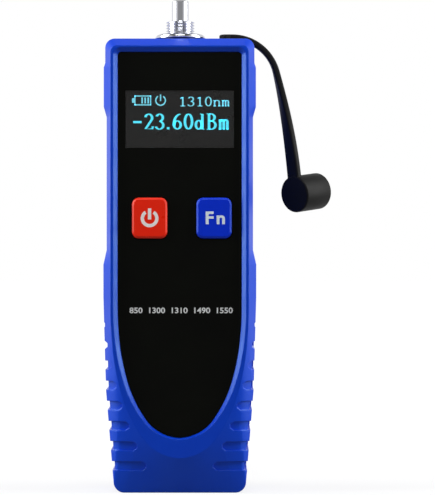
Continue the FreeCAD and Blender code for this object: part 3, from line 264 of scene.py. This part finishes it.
def glowing(name, color, strength):
    """Light from the display, uneven as its rows of dots are."""
    made, shader = material(name, color, 0.5)
    shader.inputs["Emission Color"].default_value = (*color, 1)
    tree = made.node_tree
    uneven = mapped(tree, noise(tree, DOT_SIZE, detail=1.0), *NOISE_RANGE,
                    DOT_RANGE[0] * strength, DOT_RANGE[1] * strength)
    tree.links.new(uneven, shader.inputs["Emission Strength"])
    return made


def printed(name, color):
    """Ink on a key or on the panel, slightly worn."""
    made, shader = material(name, color, 0.5, specular=0.3)
    add_variation(made, shader, color, tuple(INK_WEAR * part for part in color), INK_PATCH)
    return made


MATERIALS = {"display_lens": window_glass()}
MATERIALS.update({name: moulded(name, **look) for name, look in MOULDED.items()})
MATERIALS.update({name: metal(name, **look) for name, look in METALS.items()})


def dress_nodes():
    """Gives every CAD node its procedural material."""
    for part in frame["record"]["subparts"]:
        piece = NODES[part["node"]]
        for index in range(len(piece.material_slots)):
            piece.material_slots[index].material = MATERIALS[part["material_slot"]]


# ---------------------------------------------------------------- building blocks

WELD = 0.002 * MM  # corners of a smooth piece closer than this become one
ARC_STEP = 15  # degrees
PLATE = 0.03 * MM  # thickness of a lit or printed sign
STANDBY_GAP, STANDBY_STEPS = 33, 40  # the ring opens by this angle each way from its top
STANDBY_BAR = (0.12, 1.12)  # how far the bar's foot hangs and its head rises, in radii


def placed(name, mesh, slot, body, look=None):
    """A mesh as a piece that rides on a body and takes its finish from a slot."""
    mesh.name = name
    piece = bpy.data.objects.new(name, mesh)
    bpy.context.scene.collection.objects.link(piece)
    mesh.materials.clear()
    mesh.materials.append(look or MATERIALS[slot])
    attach(piece, body)
    return piece


def finish_mesh(mesh, smooth):
    """Turns a mesh's faces outward. A smooth one is also welded."""
    form = bmesh.new()
    form.from_mesh(mesh)
    if smooth:
        bmesh.ops.remove_doubles(form, verts=form.verts[:], dist=WELD)
    bmesh.ops.recalc_face_normals(form, faces=form.faces[:])
    form.to_mesh(mesh)
    form.free()
    mesh.polygons.foreach_set("use_smooth", [smooth] * len(mesh.polygons))


def mesh_piece(name, verts, faces, slot, body, look=None, smooth=False):
    """A piece from its corners and faces."""
    mesh = bpy.data.meshes.new(name)
    mesh.from_pydata([tuple(vert) for vert in verts], [], faces)
    mesh.validate()
    finish_mesh(mesh, smooth)
    return placed(name, mesh, slot, body, look)


def smooth_piece(name, parts, slot, body, node, sharp):
    """Several (verts, faces) pairs as one smooth piece that stands for a CAD node.

    Its edges stay sharp from an angle in degrees.
    """
    verts, faces = [], []
    for more_verts, more_faces in parts:
        faces += [tuple(index + len(verts) for index in face) for face in more_faces]
        verts += more_verts
    piece = mesh_piece(name, verts, faces, slot, body, smooth=True)
    piece.data.set_sharp_from_angle(angle=math.radians(sharp))
    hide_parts(node)


def lathe_mesh(profile, turns, axis=Vector((0, 0, 1)), foot=Vector((0, 0, 0))):
    """Corners and faces of a closed profile of (radius, height) points turned about an axis."""
    side = axis.orthogonal().normalized()
    across = axis.cross(side)
    count = len(profile)
    verts, faces = [], []
    for step in range(turns):
        angle = 2 * math.pi * step / turns
        outward = side * math.cos(angle) + across * math.sin(angle)
        verts += [foot + outward * radius + axis * height for radius, height in profile]
        row, after = step * count, (step + 1) % turns * count
        faces += [(row + i, after + i, after + (i + 1) % count, row + (i + 1) % count)
                  for i in range(count)]
    return verts, faces


def arc(x, z, across, up, start, end, steps=None):
    """Points on an ellipse, angles in degrees from the right, counter-clockwise."""
    steps = steps or max(4, int(abs(end - start) / ARC_STEP))
    angles = [math.radians(start + (end - start) * step / steps) for step in range(steps + 1)]
    return [(x + across * math.cos(a), z + up * math.sin(a)) for a in angles]


def round_corner(x, z, radius, start, steps=6):
    """A quarter of a circle about (x, z), from an angle in degrees."""
    return arc(x, z, radius, radius, start, start + 90, steps)


def face_plate(name, outlines, depth, slot, body, look):
    """Flat shapes that stand on a plane facing -Y: each outline is a list of (x, z) points."""
    verts, faces = [], []
    for outline in outlines:
        start, count = len(verts), len(outline)
        verts += [(x, depth, z) for x, z in outline] + [(x, depth - PLATE, z) for x, z in outline]
        faces.append(tuple(range(start + count - 1, start - 1, -1)))
        faces.append(tuple(range(start + count, start + 2 * count)))
        front = start + count
        faces += [(start + i, start + (i + 1) % count, front + (i + 1) % count, front + i)
                  for i in range(count)]
    mesh_piece(name, verts, faces, slot, body, look)


def block(x0, z0, x1, z1):
    """An upright rectangle between two corners."""
    return [(x0, z0), (x1, z0), (x1, z1), (x0, z1)]


def standby_sign(x, z, radius, stroke):
    """The standby sign: an open ring with a bar in the gap."""
    sides = (90 + STANDBY_GAP, 450 - STANDBY_GAP, STANDBY_STEPS)
    foot, head = STANDBY_BAR
    outer = arc(x, z, radius, radius, *sides)
    inner = arc(x, z, radius - stroke, radius - stroke, *sides)
    return [outer + inner[::-1],
            block(x - stroke / 2, z - radius * foot, x + stroke / 2, z + radius * head)]


# ---------------------------------------------------------------- lettering

# Pen strokes of the display's serif letters, in cells 0.5 wide and 1 high.
STROKES = {
    "0": [arc(0.25, 0.5, 0.16, 0.46, 0, 360)],
    "1": [[(0.12, 0.8), (0.26, 0.95), (0.26, 0.03)], [(0.12, 0.03), (0.4, 0.03)]],
    "2": [arc(0.24, 0.72, 0.15, 0.24, 170, -25) + [(0.1, 0.05), (0.4, 0.05), (0.42, 0.2)]],
    "3": [arc(0.23, 0.74, 0.14, 0.22, 160, -90), arc(0.22, 0.27, 0.17, 0.24, 90, -160)],
    "6": [arc(0.25, 0.29, 0.15, 0.25, 0, 360), arc(0.4, 0.36, 0.3, 0.6, 92, 188)],
    "-": [[(0.06, 0.43), (0.44, 0.43)], [(0.06, 0.5), (0.44, 0.5)]],
    ".": [[(0.05, 0.05), (0.17, 0.05)], [(0.05, 0.12), (0.17, 0.12)]],
    "d": [arc(0.21, 0.3, 0.13, 0.27, 0, 360),
          [(0.27, 0.96), (0.37, 0.96), (0.37, 0.03), (0.46, 0.03)]],
    "B": [[(0.03, 0.97), (0.13, 0.97), (0.13, 0.03), (0.03, 0.03)],
          [(0.13, 0.97)] + arc(0.22, 0.75, 0.16, 0.22, 90, -90) + [(0.13, 0.53)],
          [(0.22, 0.53)] + arc(0.24, 0.28, 0.18, 0.25, 90, -90) + [(0.13, 0.03)]],
    "m": [[(0.02, 0.6), (0.09, 0.6), (0.09, 0.03)],
          arc(0.17, 0.48, 0.08, 0.13, 170, 0) + [(0.25, 0.03)],
          arc(0.33, 0.48, 0.08, 0.13, 170, 0) + [(0.41, 0.03)],
          [(0.02, 0.03), (0.14, 0.03)], [(0.21, 0.03), (0.3, 0.03)], [(0.37, 0.03), (0.47, 0.03)]],
    "n": [[(0.03, 0.6), (0.11, 0.6), (0.11, 0.03)],
          arc(0.25, 0.46, 0.13, 0.15, 165, 0) + [(0.38, 0.03)],
          [(0.03, 0.03), (0.19, 0.03)], [(0.31, 0.03), (0.46, 0.03)]],
}
CELL_WIDTHS = {".": 0.27, "-": 0.52, "d": 0.54, "B": 0.54}


def pen_outline(points, across, up):
    """The two sides of a stroke along points, drawn with an upright oval pen."""
    left, right = [], []
    for index, (x, z) in enumerate(points):
        before, after = points[max(index - 1, 0)], points[min(index + 1, len(points) - 1)]
        if index == len(points) - 1 and points[0] == points[-1]:
            after = points[1]
        way = Vector((after[0] - before[0], after[1] - before[1])).normalized()
        normal = Vector((-way.y, way.x))
        reach = math.hypot(across * normal.x, up * normal.y)
        shift = (across ** 2 * normal.x / reach, up ** 2 * normal.y / reach)
        left.append((x + shift[0], z + shift[1]))
        right.append((x - shift[0], z - shift[1]))
    return left, right


def pen_words(text, left, right, low, high, pen):
    """Outlines of words in pen strokes between two sides and two heights."""
    widths = [CELL_WIDTHS.get(letter, 0.5) for letter in text]
    scale_x, scale_z = (right - left) / sum(widths), high - low
    outlines, start = [], 0.0
    for letter, width in zip(text, widths):
        for points in STROKES[letter]:
            spots = [(left + (start + x) * scale_x, low + z * scale_z) for x, z in points]
            one, other = pen_outline(spots, *pen)
            outlines += [[one[i], one[i + 1], other[i + 1], other[i]]
                         for i in range(len(spots) - 1)]
        start += width
    return outlines


def words(name, text, middle, size, depth, slot, body, look, weight=0.0, spacing=1.0):
    """Plain lettering stretched to a width and a height, about a middle (x, z)."""
    curve = bpy.data.curves.new(name, "FONT")
    curve.body = text
    curve.offset = weight
    curve.space_character = spacing
    curve.resolution_u = 4
    helper = bpy.data.objects.new(name + "_curve", curve)
    bpy.context.scene.collection.objects.link(helper)
    bpy.context.view_layer.update()
    shaped = helper.evaluated_get(bpy.context.evaluated_depsgraph_get())
    drawn = bpy.data.meshes.new_from_object(shaped)
    xs, ys = [v.co.x for v in drawn.vertices], [v.co.y for v in drawn.vertices]
    back, count = [tuple(face.vertices) for face in drawn.polygons], len(drawn.vertices)
    bpy.data.objects.remove(helper)
    bpy.data.meshes.remove(drawn)
    across, up = size[0] / (max(xs) - min(xs)), size[1] / (max(ys) - min(ys))
    spots = [((x - (max(xs) + min(xs)) / 2) * across + middle[0],
              (y - (max(ys) + min(ys)) / 2) * up + middle[1]) for x, y in zip(xs, ys)]
    verts = [(x, depth, z) for x, z in spots] + [(x, depth - PLATE, z) for x, z in spots]
    front = [tuple(index + count for index in face) for face in back]
    edges = [(face[i - 1], face[i]) for face in back for i in range(len(face))]
    faces_at = Counter(frozenset(edge) for edge in edges)
    rim = [(one, other, other + count, one + count) for one, other in edges
           if faces_at[frozenset((one, other))] == 1]
    mesh_piece(name, verts, back + front + rim, slot, body, look)


# ---------------------------------------------------------------- display

# left, right, low and high side of what the display shows, as shares of the window
BATTERY_ROW = (0.057, 0.235, 0.745, 0.92)
WAVELENGTH_ROW = (0.487, 0.965, 0.73, 0.9)
POWER_ROW = (0.055, 0.96, 0.32, 0.605)
STANDBY_SHARE, STANDBY_RADIUS, STANDBY_STROKE = 0.322, 1.5 * MM, 0.36 * MM
LINE, BAR, BARS = 0.3 * MM, 0.42 * MM, 3
NIB_REACH, BAR_SPACE, BAR_INSET = 2.2 * LINE, 1.4 * LINE, 1.8 * LINE
NIB_WAIST = 0.27  # how much lower the nib is at its foot and head, as a share of the height
SIGN_GAP = 0.02 * MM  # room between the display's glass and the signs that stand before it
THIN_PEN, BROAD_PEN = (0.21 * MM, 0.11 * MM), (0.36 * MM, 0.16 * MM)


def in_window(left, right, low, high):
    """Two sides and two heights from shares of the window's width and height."""
    width, height = WINDOW_HIGH.x - WINDOW_LOW.x, WINDOW_HIGH.z - WINDOW_LOW.z
    return (WINDOW_LOW.x + width * left, WINDOW_LOW.x + width * right,
            WINDOW_LOW.z + height * low, WINDOW_LOW.z + height * high)


def battery_sign(left, right, low, high):
    """A battery on its side, its nib to the left, with bars of charge in it."""
    nib, waist = left + NIB_REACH, (high - low) * NIB_WAIST
    outlines = [block(nib, low, right, low + LINE), block(nib, high - LINE, right, high),
                block(nib, low, nib + LINE, high), block(right - LINE, low, right, high),
                block(left, low + waist, nib, high - waist)]
    for number in range(BARS):
        start = right - 2 * LINE - BAR - number * (BAR + BAR_SPACE)
        outlines.append(block(start, low + BAR_INSET, start + BAR, high - BAR_INSET))
    return outlines


def build_display():
    """A reading, its wavelength, a battery sign and a standby sign, behind the window."""
    bright = glowing("display_light", (0.09, 0.78, 0.98), 1.25)
    pale = glowing("display_light_pale", (0.22, 0.78, 0.96), 1.05)
    battery = in_window(*BATTERY_ROW)
    standby = in_window(STANDBY_SHARE, 1, 0, 1)[0]
    signs = {
        "battery_sign": (battery_sign(*battery), pale),
        "standby_sign_small": (standby_sign(standby, (battery[2] + battery[3]) / 2,
                                            STANDBY_RADIUS, STANDBY_STROKE), pale),
        "wavelength_reading": (pen_words("1310nm", *in_window(*WAVELENGTH_ROW), THIN_PEN), pale),
        "power_reading": (pen_words("-23.60dBm", *in_window(*POWER_ROW), BROAD_PEN), bright),
    }
    for name, (outlines, look) in signs.items():
        face_plate(name, outlines, OLED_LOW.y - SIGN_GAP, "display_lens", "meter", look)


# ---------------------------------------------------------------- signs on keys and panel

KEY_SUNK, PANEL_SUNK = 0.01 * MM, 0.005 * MM  # how deep the ink's back lies in what carries it
KEY_RADIUS, KEY_STROKE, KEY_DROP = 2.45 * MM, 0.92 * MM, 0.1 * MM
# sizes are (width, height), and the line's level is counted from the panel's foot
LEGEND_SIZE, LEGEND_SHIFT = (5.3 * MM, 3.5 * MM), (0.35 * MM, 0.05 * MM)
LINE_SIZE, LINE_SHIFT, LINE_LEVEL = (28.4 * MM, 1.6 * MM), 0.4 * MM, 35.0 * MM


def key_face(node):
    """The middle (x, z) of a key, and how far forward it reaches."""
    low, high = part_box(node)
    return (low.x + high.x) / 2, (low.z + high.z) / 2, low.y


def build_signs():
    """The standby sign and the letters on the keys, and the line of wavelengths under them."""
    white = printed("white_ink", (0.97, 0.9, 0.88))
    pale = printed("pale_blue_ink", (0.8, 0.9, 0.98))
    grey = printed("grey_ink", (0.74, 0.76, 0.76))
    x, z, front = key_face("power_button")
    face_plate("standby_sign_key", standby_sign(x, z - KEY_DROP, KEY_RADIUS, KEY_STROKE),
               front + KEY_SUNK, "key_red", "power_key", white)
    x, z, front = key_face("fn_button")
    words("function_sign", "Fn", (x + LEGEND_SHIFT[0], z + LEGEND_SHIFT[1]), LEGEND_SIZE,
          front + KEY_SUNK, "key_blue", "fn_key", pale, weight=0.03, spacing=1.25)
    words("wavelength_line", "850  1300  1310  1490  1550", (LINE_SHIFT, PANEL_LOW.z + LINE_LEVEL),
          LINE_SIZE, PANEL_LOW.y + PANEL_SUNK, "panel_black", "meter", grey, weight=0.02)


# ---------------------------------------------------------------- optical port

PORT_TURNS, DOME_STEPS = 96, 18
SHANK, NECK, SPIGOT, COLLAR_HEIGHT = 4.5 * MM, 3.55 * MM, 3.8 * MM, 1.6 * MM
THREAD_PITCH, THREAD_DEPTH, THREAD_CREST = 0.75 * MM, 0.45 * MM, 0.15 * MM
THREAD_ROOT, THREAD_MIDDLE = (0.04, 0.14), 0.58  # places of root and crest in a pitch
RELIEF = 0.15 * MM  # free height between the nut and the thread
CLEAR = 0.02 * MM  # room round the ferrule tube and the neck
NUT_CHAMFER, NUT_RIM = (0.1 * MM, 0.12 * MM), 0.32 * MM
DOME_FOOT, DOME_LIP, DOME_FULLNESS = 0.45 * MM, 0.25 * MM, 0.8


def thread_profile(foot, top, radius):
    """Corners of a cylinder from a foot to a top, with ridges that are rounded at the crest."""
    rows = round((top - foot) / THREAD_PITCH)
    step = (top - foot) / rows
    root, crest = radius - THREAD_DEPTH, radius - THREAD_CREST
    points = []
    for row in range(rows):
        level = foot + row * step
        points += [(root, level + share * step) for share in THREAD_ROOT]
        points += arc(crest, level + THREAD_MIDDLE * step, THREAD_CREST, THREAD_CREST, -60, 60, 6)
    return points + [(root, top)]


def build_port():
    """The barrel with its thread and the domed nut, as turned and plated metal."""
    low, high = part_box("threaded_barrel")
    nut_low, nut_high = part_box("port_nut")
    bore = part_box("ferrule_tube")[1].x + CLEAR
    collar, collar_foot = high.x, ROOF - COLLAR_HEIGHT
    thread = MOUNTS["adapter_thread"]["dims"]["r_mm"] * MM
    foot = nut_high.z + RELIEF
    barrel = [(bore, low.z), (SPIGOT, low.z), (SPIGOT, collar_foot), (collar, collar_foot),
              (collar, ROOF), (SHANK, ROOF), (SHANK, nut_low.z), (NECK, nut_low.z), (NECK, foot)]
    barrel += thread_profile(foot, high.z, thread) + [(bore, high.z)]
    smooth_piece("barrel_with_thread", [lathe_mesh(barrel, PORT_TURNS)], "nickel", "meter",
                 "threaded_barrel", sharp=25)

    rim, hole, rise = nut_high.x, NECK + CLEAR, nut_high.z - nut_low.z
    nut = [(hole, nut_low.z), (rim - NUT_CHAMFER[0], nut_low.z), (rim, nut_low.z + NUT_CHAMFER[1]),
           (rim, nut_low.z + NUT_RIM)]
    for step in range(DOME_STEPS + 1):
        angle = math.pi / 2 * step / DOME_STEPS
        nut.append((hole + (rim - DOME_LIP - hole) * math.cos(angle),
                    nut_low.z + DOME_FOOT + (rise - DOME_FOOT) * math.sin(angle) ** DOME_FULLNESS))
    smooth_piece("domed_nut", [lathe_mesh(nut, PORT_TURNS)], "nickel", "meter", "port_nut",
                 sharp=35)


# ---------------------------------------------------------------- dust cap

STRAP_HALF, STRAP_RISE = 2.1 * MM, 0.85 * MM
STRAP_BEND, STRAP_DROP, STRAP_FLAT = 12.6 * MM, 31.6 * MM, 1.6 * MM
STRAP_LEAN, STRAP_TWIST, STRAP_BOW = math.radians(9.4), math.radians(46), math.radians(4.5)
STRAP_TURNING = 1.25  # the length over which the strap twists, in hanging lengths
BEND_STEPS, HANG_STEPS = 18, 26
EDGE_STEPS, HEAD_TURNS, PIN_TURNS, CAP_TURNS = 4, 40, 32, 72
CAP_RADIUS, CAP_LENGTH, CAP_WALL, CAP_CHAMFER = 5.1 * MM, 10.2 * MM, 1.2 * MM, 0.3 * MM
SOFT_EDGE, HEAD_CROWN = 0.5 * MM, 0.12 * MM
PIN_RADIUS, PIN_PLAY = 1.5 * MM, 0.1 * MM


def strap_line(start):
    """Middle points of the strap, and how far it leans from upright at each.

    Its hanging run bows slightly outward and ends where the cap is.
    """
    points, leans = [start - Vector((STRAP_FLAT, 0, 0)), start], [math.pi / 2, math.pi / 2]
    slack = STRAP_LEAN + STRAP_BOW
    hub = start - Vector((0, 0, STRAP_BEND))
    for step in range(1, BEND_STEPS + 1):
        lean = math.pi / 2 - (math.pi / 2 - slack) * step / BEND_STEPS
        points.append(hub + STRAP_BEND * Vector((math.cos(lean), 0, math.sin(lean))))
        leans.append(lean)
    end = hub + STRAP_BEND * Vector((math.cos(STRAP_LEAN), 0, math.sin(STRAP_LEAN)))
    end += STRAP_DROP * Vector((math.sin(STRAP_LEAN), 0, -math.cos(STRAP_LEAN)))
    first, hang = len(points), (end - points[-1]).length
    for step in range(1, HANG_STEPS + 1):
        lean = slack - 2 * STRAP_BOW * (step - 0.5) / HANG_STEPS
        down = Vector((math.sin(lean), 0, -math.cos(lean)))
        points.append(points[-1] + hang / HANG_STEPS * down)
        leans.append(lean)
    miss = end - points[-1]
    for step in range(HANG_STEPS):
        points[first + step] += miss * (step + 1) / HANG_STEPS
    return points, leans


def strap_mesh(points, leans):
    """A flat strap with rounded edges along a line, turning its flat side to the front."""
    ring = []
    for x, z, start in ((1, 1, 0), (-1, 1, 90), (-1, -1, 180), (1, -1, 270)):
        ring += round_corner(x * (STRAP_HALF - SOFT_EDGE), z * (STRAP_RISE - SOFT_EDGE), SOFT_EDGE,
                             start, EDGE_STEPS)
    lengths = [0.0]
    for one, other in zip(points, points[1:]):
        lengths.append(lengths[-1] + (other - one).length)
    turning = lengths[-1] - STRAP_DROP * STRAP_TURNING
    verts, count = [], len(ring)
    for point, lean, length in zip(points, leans, lengths):
        share = min(max((length - turning) / (lengths[-1] - turning), 0), 1)
        down = Vector((math.sin(lean), 0, -math.cos(lean)))
        outward = Vector((math.cos(lean), 0, math.sin(lean)))
        turned = Matrix.Rotation(-STRAP_TWIST * share * share * (3 - 2 * share), 3, down)
        side, face = turned @ Vector((0, 1, 0)), turned @ outward
        verts += [point + side * x + face * z for x, z in ring]
    faces = [(row * count + i, row * count + (i + 1) % count,
              (row + 1) * count + (i + 1) % count, (row + 1) * count + i)
             for row in range(len(points) - 1) for i in range(count)]
    faces += [tuple(range(count)), tuple(range(len(verts) - 1, len(verts) - count - 1, -1))]
    return verts, faces


def build_dust_cap():
    """Stud, strap and cap as one rubber moulding with rounded edges."""
    stud = Vector(JOINTS["tether_swing"]["pos_m"])
    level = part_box("dust_cap")[1].z - STRAP_RISE
    edge = STRAP_HALF - SOFT_EDGE
    head = [(0, -STRAP_RISE), (edge, -STRAP_RISE)]
    head += round_corner(edge, SOFT_EDGE - STRAP_RISE, SOFT_EDGE, -90, EDGE_STEPS)
    head += round_corner(edge, STRAP_RISE - SOFT_EDGE, SOFT_EDGE, 0, EDGE_STEPS)
    head += [(0, STRAP_RISE + HEAD_CROWN)]
    flange = ROOF - PIN_PLAY - level
    pin = [(0, flange - 2 * STRAP_RISE), (STRAP_HALF, flange - 2 * STRAP_RISE),
           (STRAP_HALF, flange), (PIN_RADIUS, flange), (PIN_RADIUS, 0), (0, 0)]
    bore = MOUNTS["cap_bore"]
    inner = bore["dims"]["r_mm"] * MM
    way = Vector(bore["axis"]).normalized()
    closed = Vector(bore["pos_m"]) - way * (CAP_WALL + bore["dims"]["length_mm"] * MM / 2)
    edge = CAP_RADIUS - SOFT_EDGE
    cap = [(0, 0), (edge, 0)] + round_corner(edge, SOFT_EDGE, SOFT_EDGE, -90)
    cap += round_corner(edge, CAP_LENGTH - SOFT_EDGE, SOFT_EDGE, 0)
    cap += [(inner + CAP_CHAMFER, CAP_LENGTH), (inner, CAP_LENGTH - CAP_CHAMFER),
            (inner, CAP_WALL), (0, CAP_WALL)]
    place, up = Vector((stud.x, 0, level)), Vector((0, 0, 1))
    points, leans = strap_line(Vector((stud.x + STRAP_FLAT, 0, level)))
    parts = [lathe_mesh(head, HEAD_TURNS, up, place), lathe_mesh(pin, PIN_TURNS, up, place),
             strap_mesh(points, leans), lathe_mesh(cap, CAP_TURNS, way, closed)]
    smooth_piece("dust_cap_rubber", parts, "cap_rubber", "cap", "dust_cap", sharp=40)


# ---------------------------------------------------------------- floor, light and camera

# Strength of the white studio where gloss and metal mirror it: 1 at its sides and back, less
# at its dark end behind the camera, least on its ceiling and on the floor before the meter.
DARK_END = 0.3
DARKEST = 0.4 * DARK_END
CEILING_RANGE = (0.1, 0.6)  # how steeply a ray rises where the dark end turns into ceiling
WALL_RANGE = (0.5, 0.85)  # how far aside or back a ray points where the walls turn white
SOFT_LIGHT = 0.15  # strength of the studio as light on the object

FLOOR_REACH, FLOOR_RINGS, FLOOR_SPOKES = 4.0, 24, 64
FLOOR_GREY, FLOOR_MIRRORED_GREY = 0.2, 0.1
FLOOR_GLOW, FLOOR_FADE = 0.78, (0.05, 0.5)  # its glow at the meter, and how far off it is white
FLOOR_BACK, FLOOR_SPLIT = 0.8, (-0.1, 0.1)  # its mirrored glow behind, and where that darkens

LAMPS = {  # place, target, size and power in watts
    "side_left": ((-0.6, -0.08, 0.26), (0, 0, 0.07), (0.3, 0.9), 6.9),
    "side_right": ((0.6, -0.08, 0.26), (0, 0, 0.07), (0.3, 0.9), 6.2),
    "front": ((0.0, -0.32, 0.52), (0, 0, 0.1), (0.3, 0.2), 1.0),
}
CAMERA_PLACE, CAMERA_LENS = (0.0104, -0.650, 0.0677), 168.8


def seen_rays(tree, *kinds):
    """1 where one of the named kinds of ray meets the surface, 0 elsewhere."""
    rays = tree.nodes.new("ShaderNodeLightPath")
    share = rays.outputs[kinds[0]]
    for kind in kinds[1:]:
        share = combined(tree, "MAXIMUM", share, rays.outputs[kind])
    return share


def separated(tree, place):
    """The three parts of a place."""
    parts = tree.nodes.new("ShaderNodeSeparateXYZ")
    tree.links.new(place, parts.inputs["Vector"])
    return parts.outputs


def floor_mesh():
    """A round sheet with its middle under the meter, finer towards the middle."""
    around = [2 * math.pi * spoke / FLOOR_SPOKES for spoke in range(FLOOR_SPOKES)]
    verts = [(0.0, 0.0, 0.0)]
    for ring in range(1, FLOOR_RINGS + 1):
        radius = FLOOR_REACH * (ring / FLOOR_RINGS) ** 2
        verts += [(radius * math.cos(angle), radius * math.sin(angle), 0.0) for angle in around]
    faces = [(0, 1 + s, 1 + (s + 1) % FLOOR_SPOKES) for s in range(FLOOR_SPOKES)]
    for ring in range(FLOOR_RINGS - 1):
        inner, outer = 1 + ring * FLOOR_SPOKES, 1 + (ring + 1) * FLOOR_SPOKES
        faces += [(inner + s, outer + s, outer + (s + 1) % FLOOR_SPOKES,
                   inner + (s + 1) % FLOOR_SPOKES) for s in range(FLOOR_SPOKES)]
    mesh = bpy.data.meshes.new("studio_floor")
    mesh.from_pydata(verts, [], faces)
    return mesh


def build_floor():
    """A round pale floor that keeps the meter's shadow and fades into the white round it."""
    mesh = floor_mesh()
    floor = bpy.data.objects.new("studio_floor", mesh)
    bpy.context.scene.collection.objects.link(floor)
    made, shader = material("studio_white", (FLOOR_GREY,) * 3, 0.95, specular=0.0)
    tree = made.node_tree
    place = tree.nodes.new("ShaderNodeTexCoord").outputs["Object"]
    length = tree.nodes.new("ShaderNodeVectorMath")
    length.operation = "LENGTH"
    tree.links.new(place, length.inputs[0])
    fade = mapped(tree, length.outputs["Value"], *FLOOR_FADE, FLOOR_GLOW, 1.0)
    front = mapped(tree, separated(tree, place)["Y"], *FLOOR_SPLIT, DARKEST, FLOOR_BACK)
    mirrored = seen_rays(tree, "Is Glossy Ray", "Is Transmission Ray")
    glow = blended(tree, mirrored, 0.0, front)
    glow = blended(tree, seen_rays(tree, "Is Camera Ray"), glow, fade)
    grey = blended(tree, mirrored, FLOOR_GREY, FLOOR_MIRRORED_GREY)
    shader.inputs["Emission Color"].default_value = (1, 1, 1, 1)
    tree.links.new(glow, shader.inputs["Emission Strength"])
    tree.links.new(grey, shader.inputs["Base Color"])
    mesh.materials.append(made)


def build_world():
    """A white studio with a dark ceiling and a dark end behind the camera."""
    world = bpy.data.worlds.new("studio")
    bpy.context.scene.world = world
    world.use_nodes = True
    tree = world.node_tree
    background = tree.nodes["Background"]
    background.inputs["Color"].default_value = (1, 1, 1, 1)
    way = separated(tree, tree.nodes.new("ShaderNodeTexCoord").outputs["Generated"])
    away = combined(tree, "MAXIMUM", combined(tree, "ABSOLUTE", way["X"]), way["Y"])
    ceiling = mapped(tree, way["Z"], *CEILING_RANGE, DARK_END, DARKEST)
    wall = mapped(tree, away, *WALL_RANGE, ceiling, 1.0)
    mirrored = seen_rays(tree, "Is Glossy Ray", "Is Transmission Ray")
    strength = blended(tree, mirrored, SOFT_LIGHT, wall)
    strength = blended(tree, seen_rays(tree, "Is Camera Ray"), strength, 1.0)
    tree.links.new(strength, background.inputs["Strength"])


def build_lamps():
    """A tall soft lamp on each side and one above the camera."""
    for name, (place, target, size, power) in LAMPS.items():
        light = bpy.data.lights.new(name, "AREA")
        light.shape = "RECTANGLE"
        light.size, light.size_y = size
        light.energy = power
        lamp = bpy.data.objects.new(name, light)
        lamp.location = place
        aim = Vector(target) - Vector(place)
        lamp.rotation_euler = aim.to_track_quat("-Z", "Y").to_euler()
        bpy.context.scene.collection.objects.link(lamp)


def build_camera():
    """Level camera before the face, about two thirds of a metre off."""
    camera = bpy.data.cameras.new("camera")
    camera.lens = CAMERA_LENS
    camera.clip_start = 0.01
    viewer = bpy.data.objects.new("camera", camera)
    viewer.location = CAMERA_PLACE
    viewer.rotation_euler = (math.pi / 2, 0, 0)
    bpy.context.scene.collection.objects.link(viewer)
    bpy.context.scene.camera = viewer


dress_nodes()
build_display()
build_signs()
build_port()
build_dust_cap()
build_floor()
build_world()
build_lamps()
build_camera()
bpy.context.scene.view_settings.view_transform = "Standard"
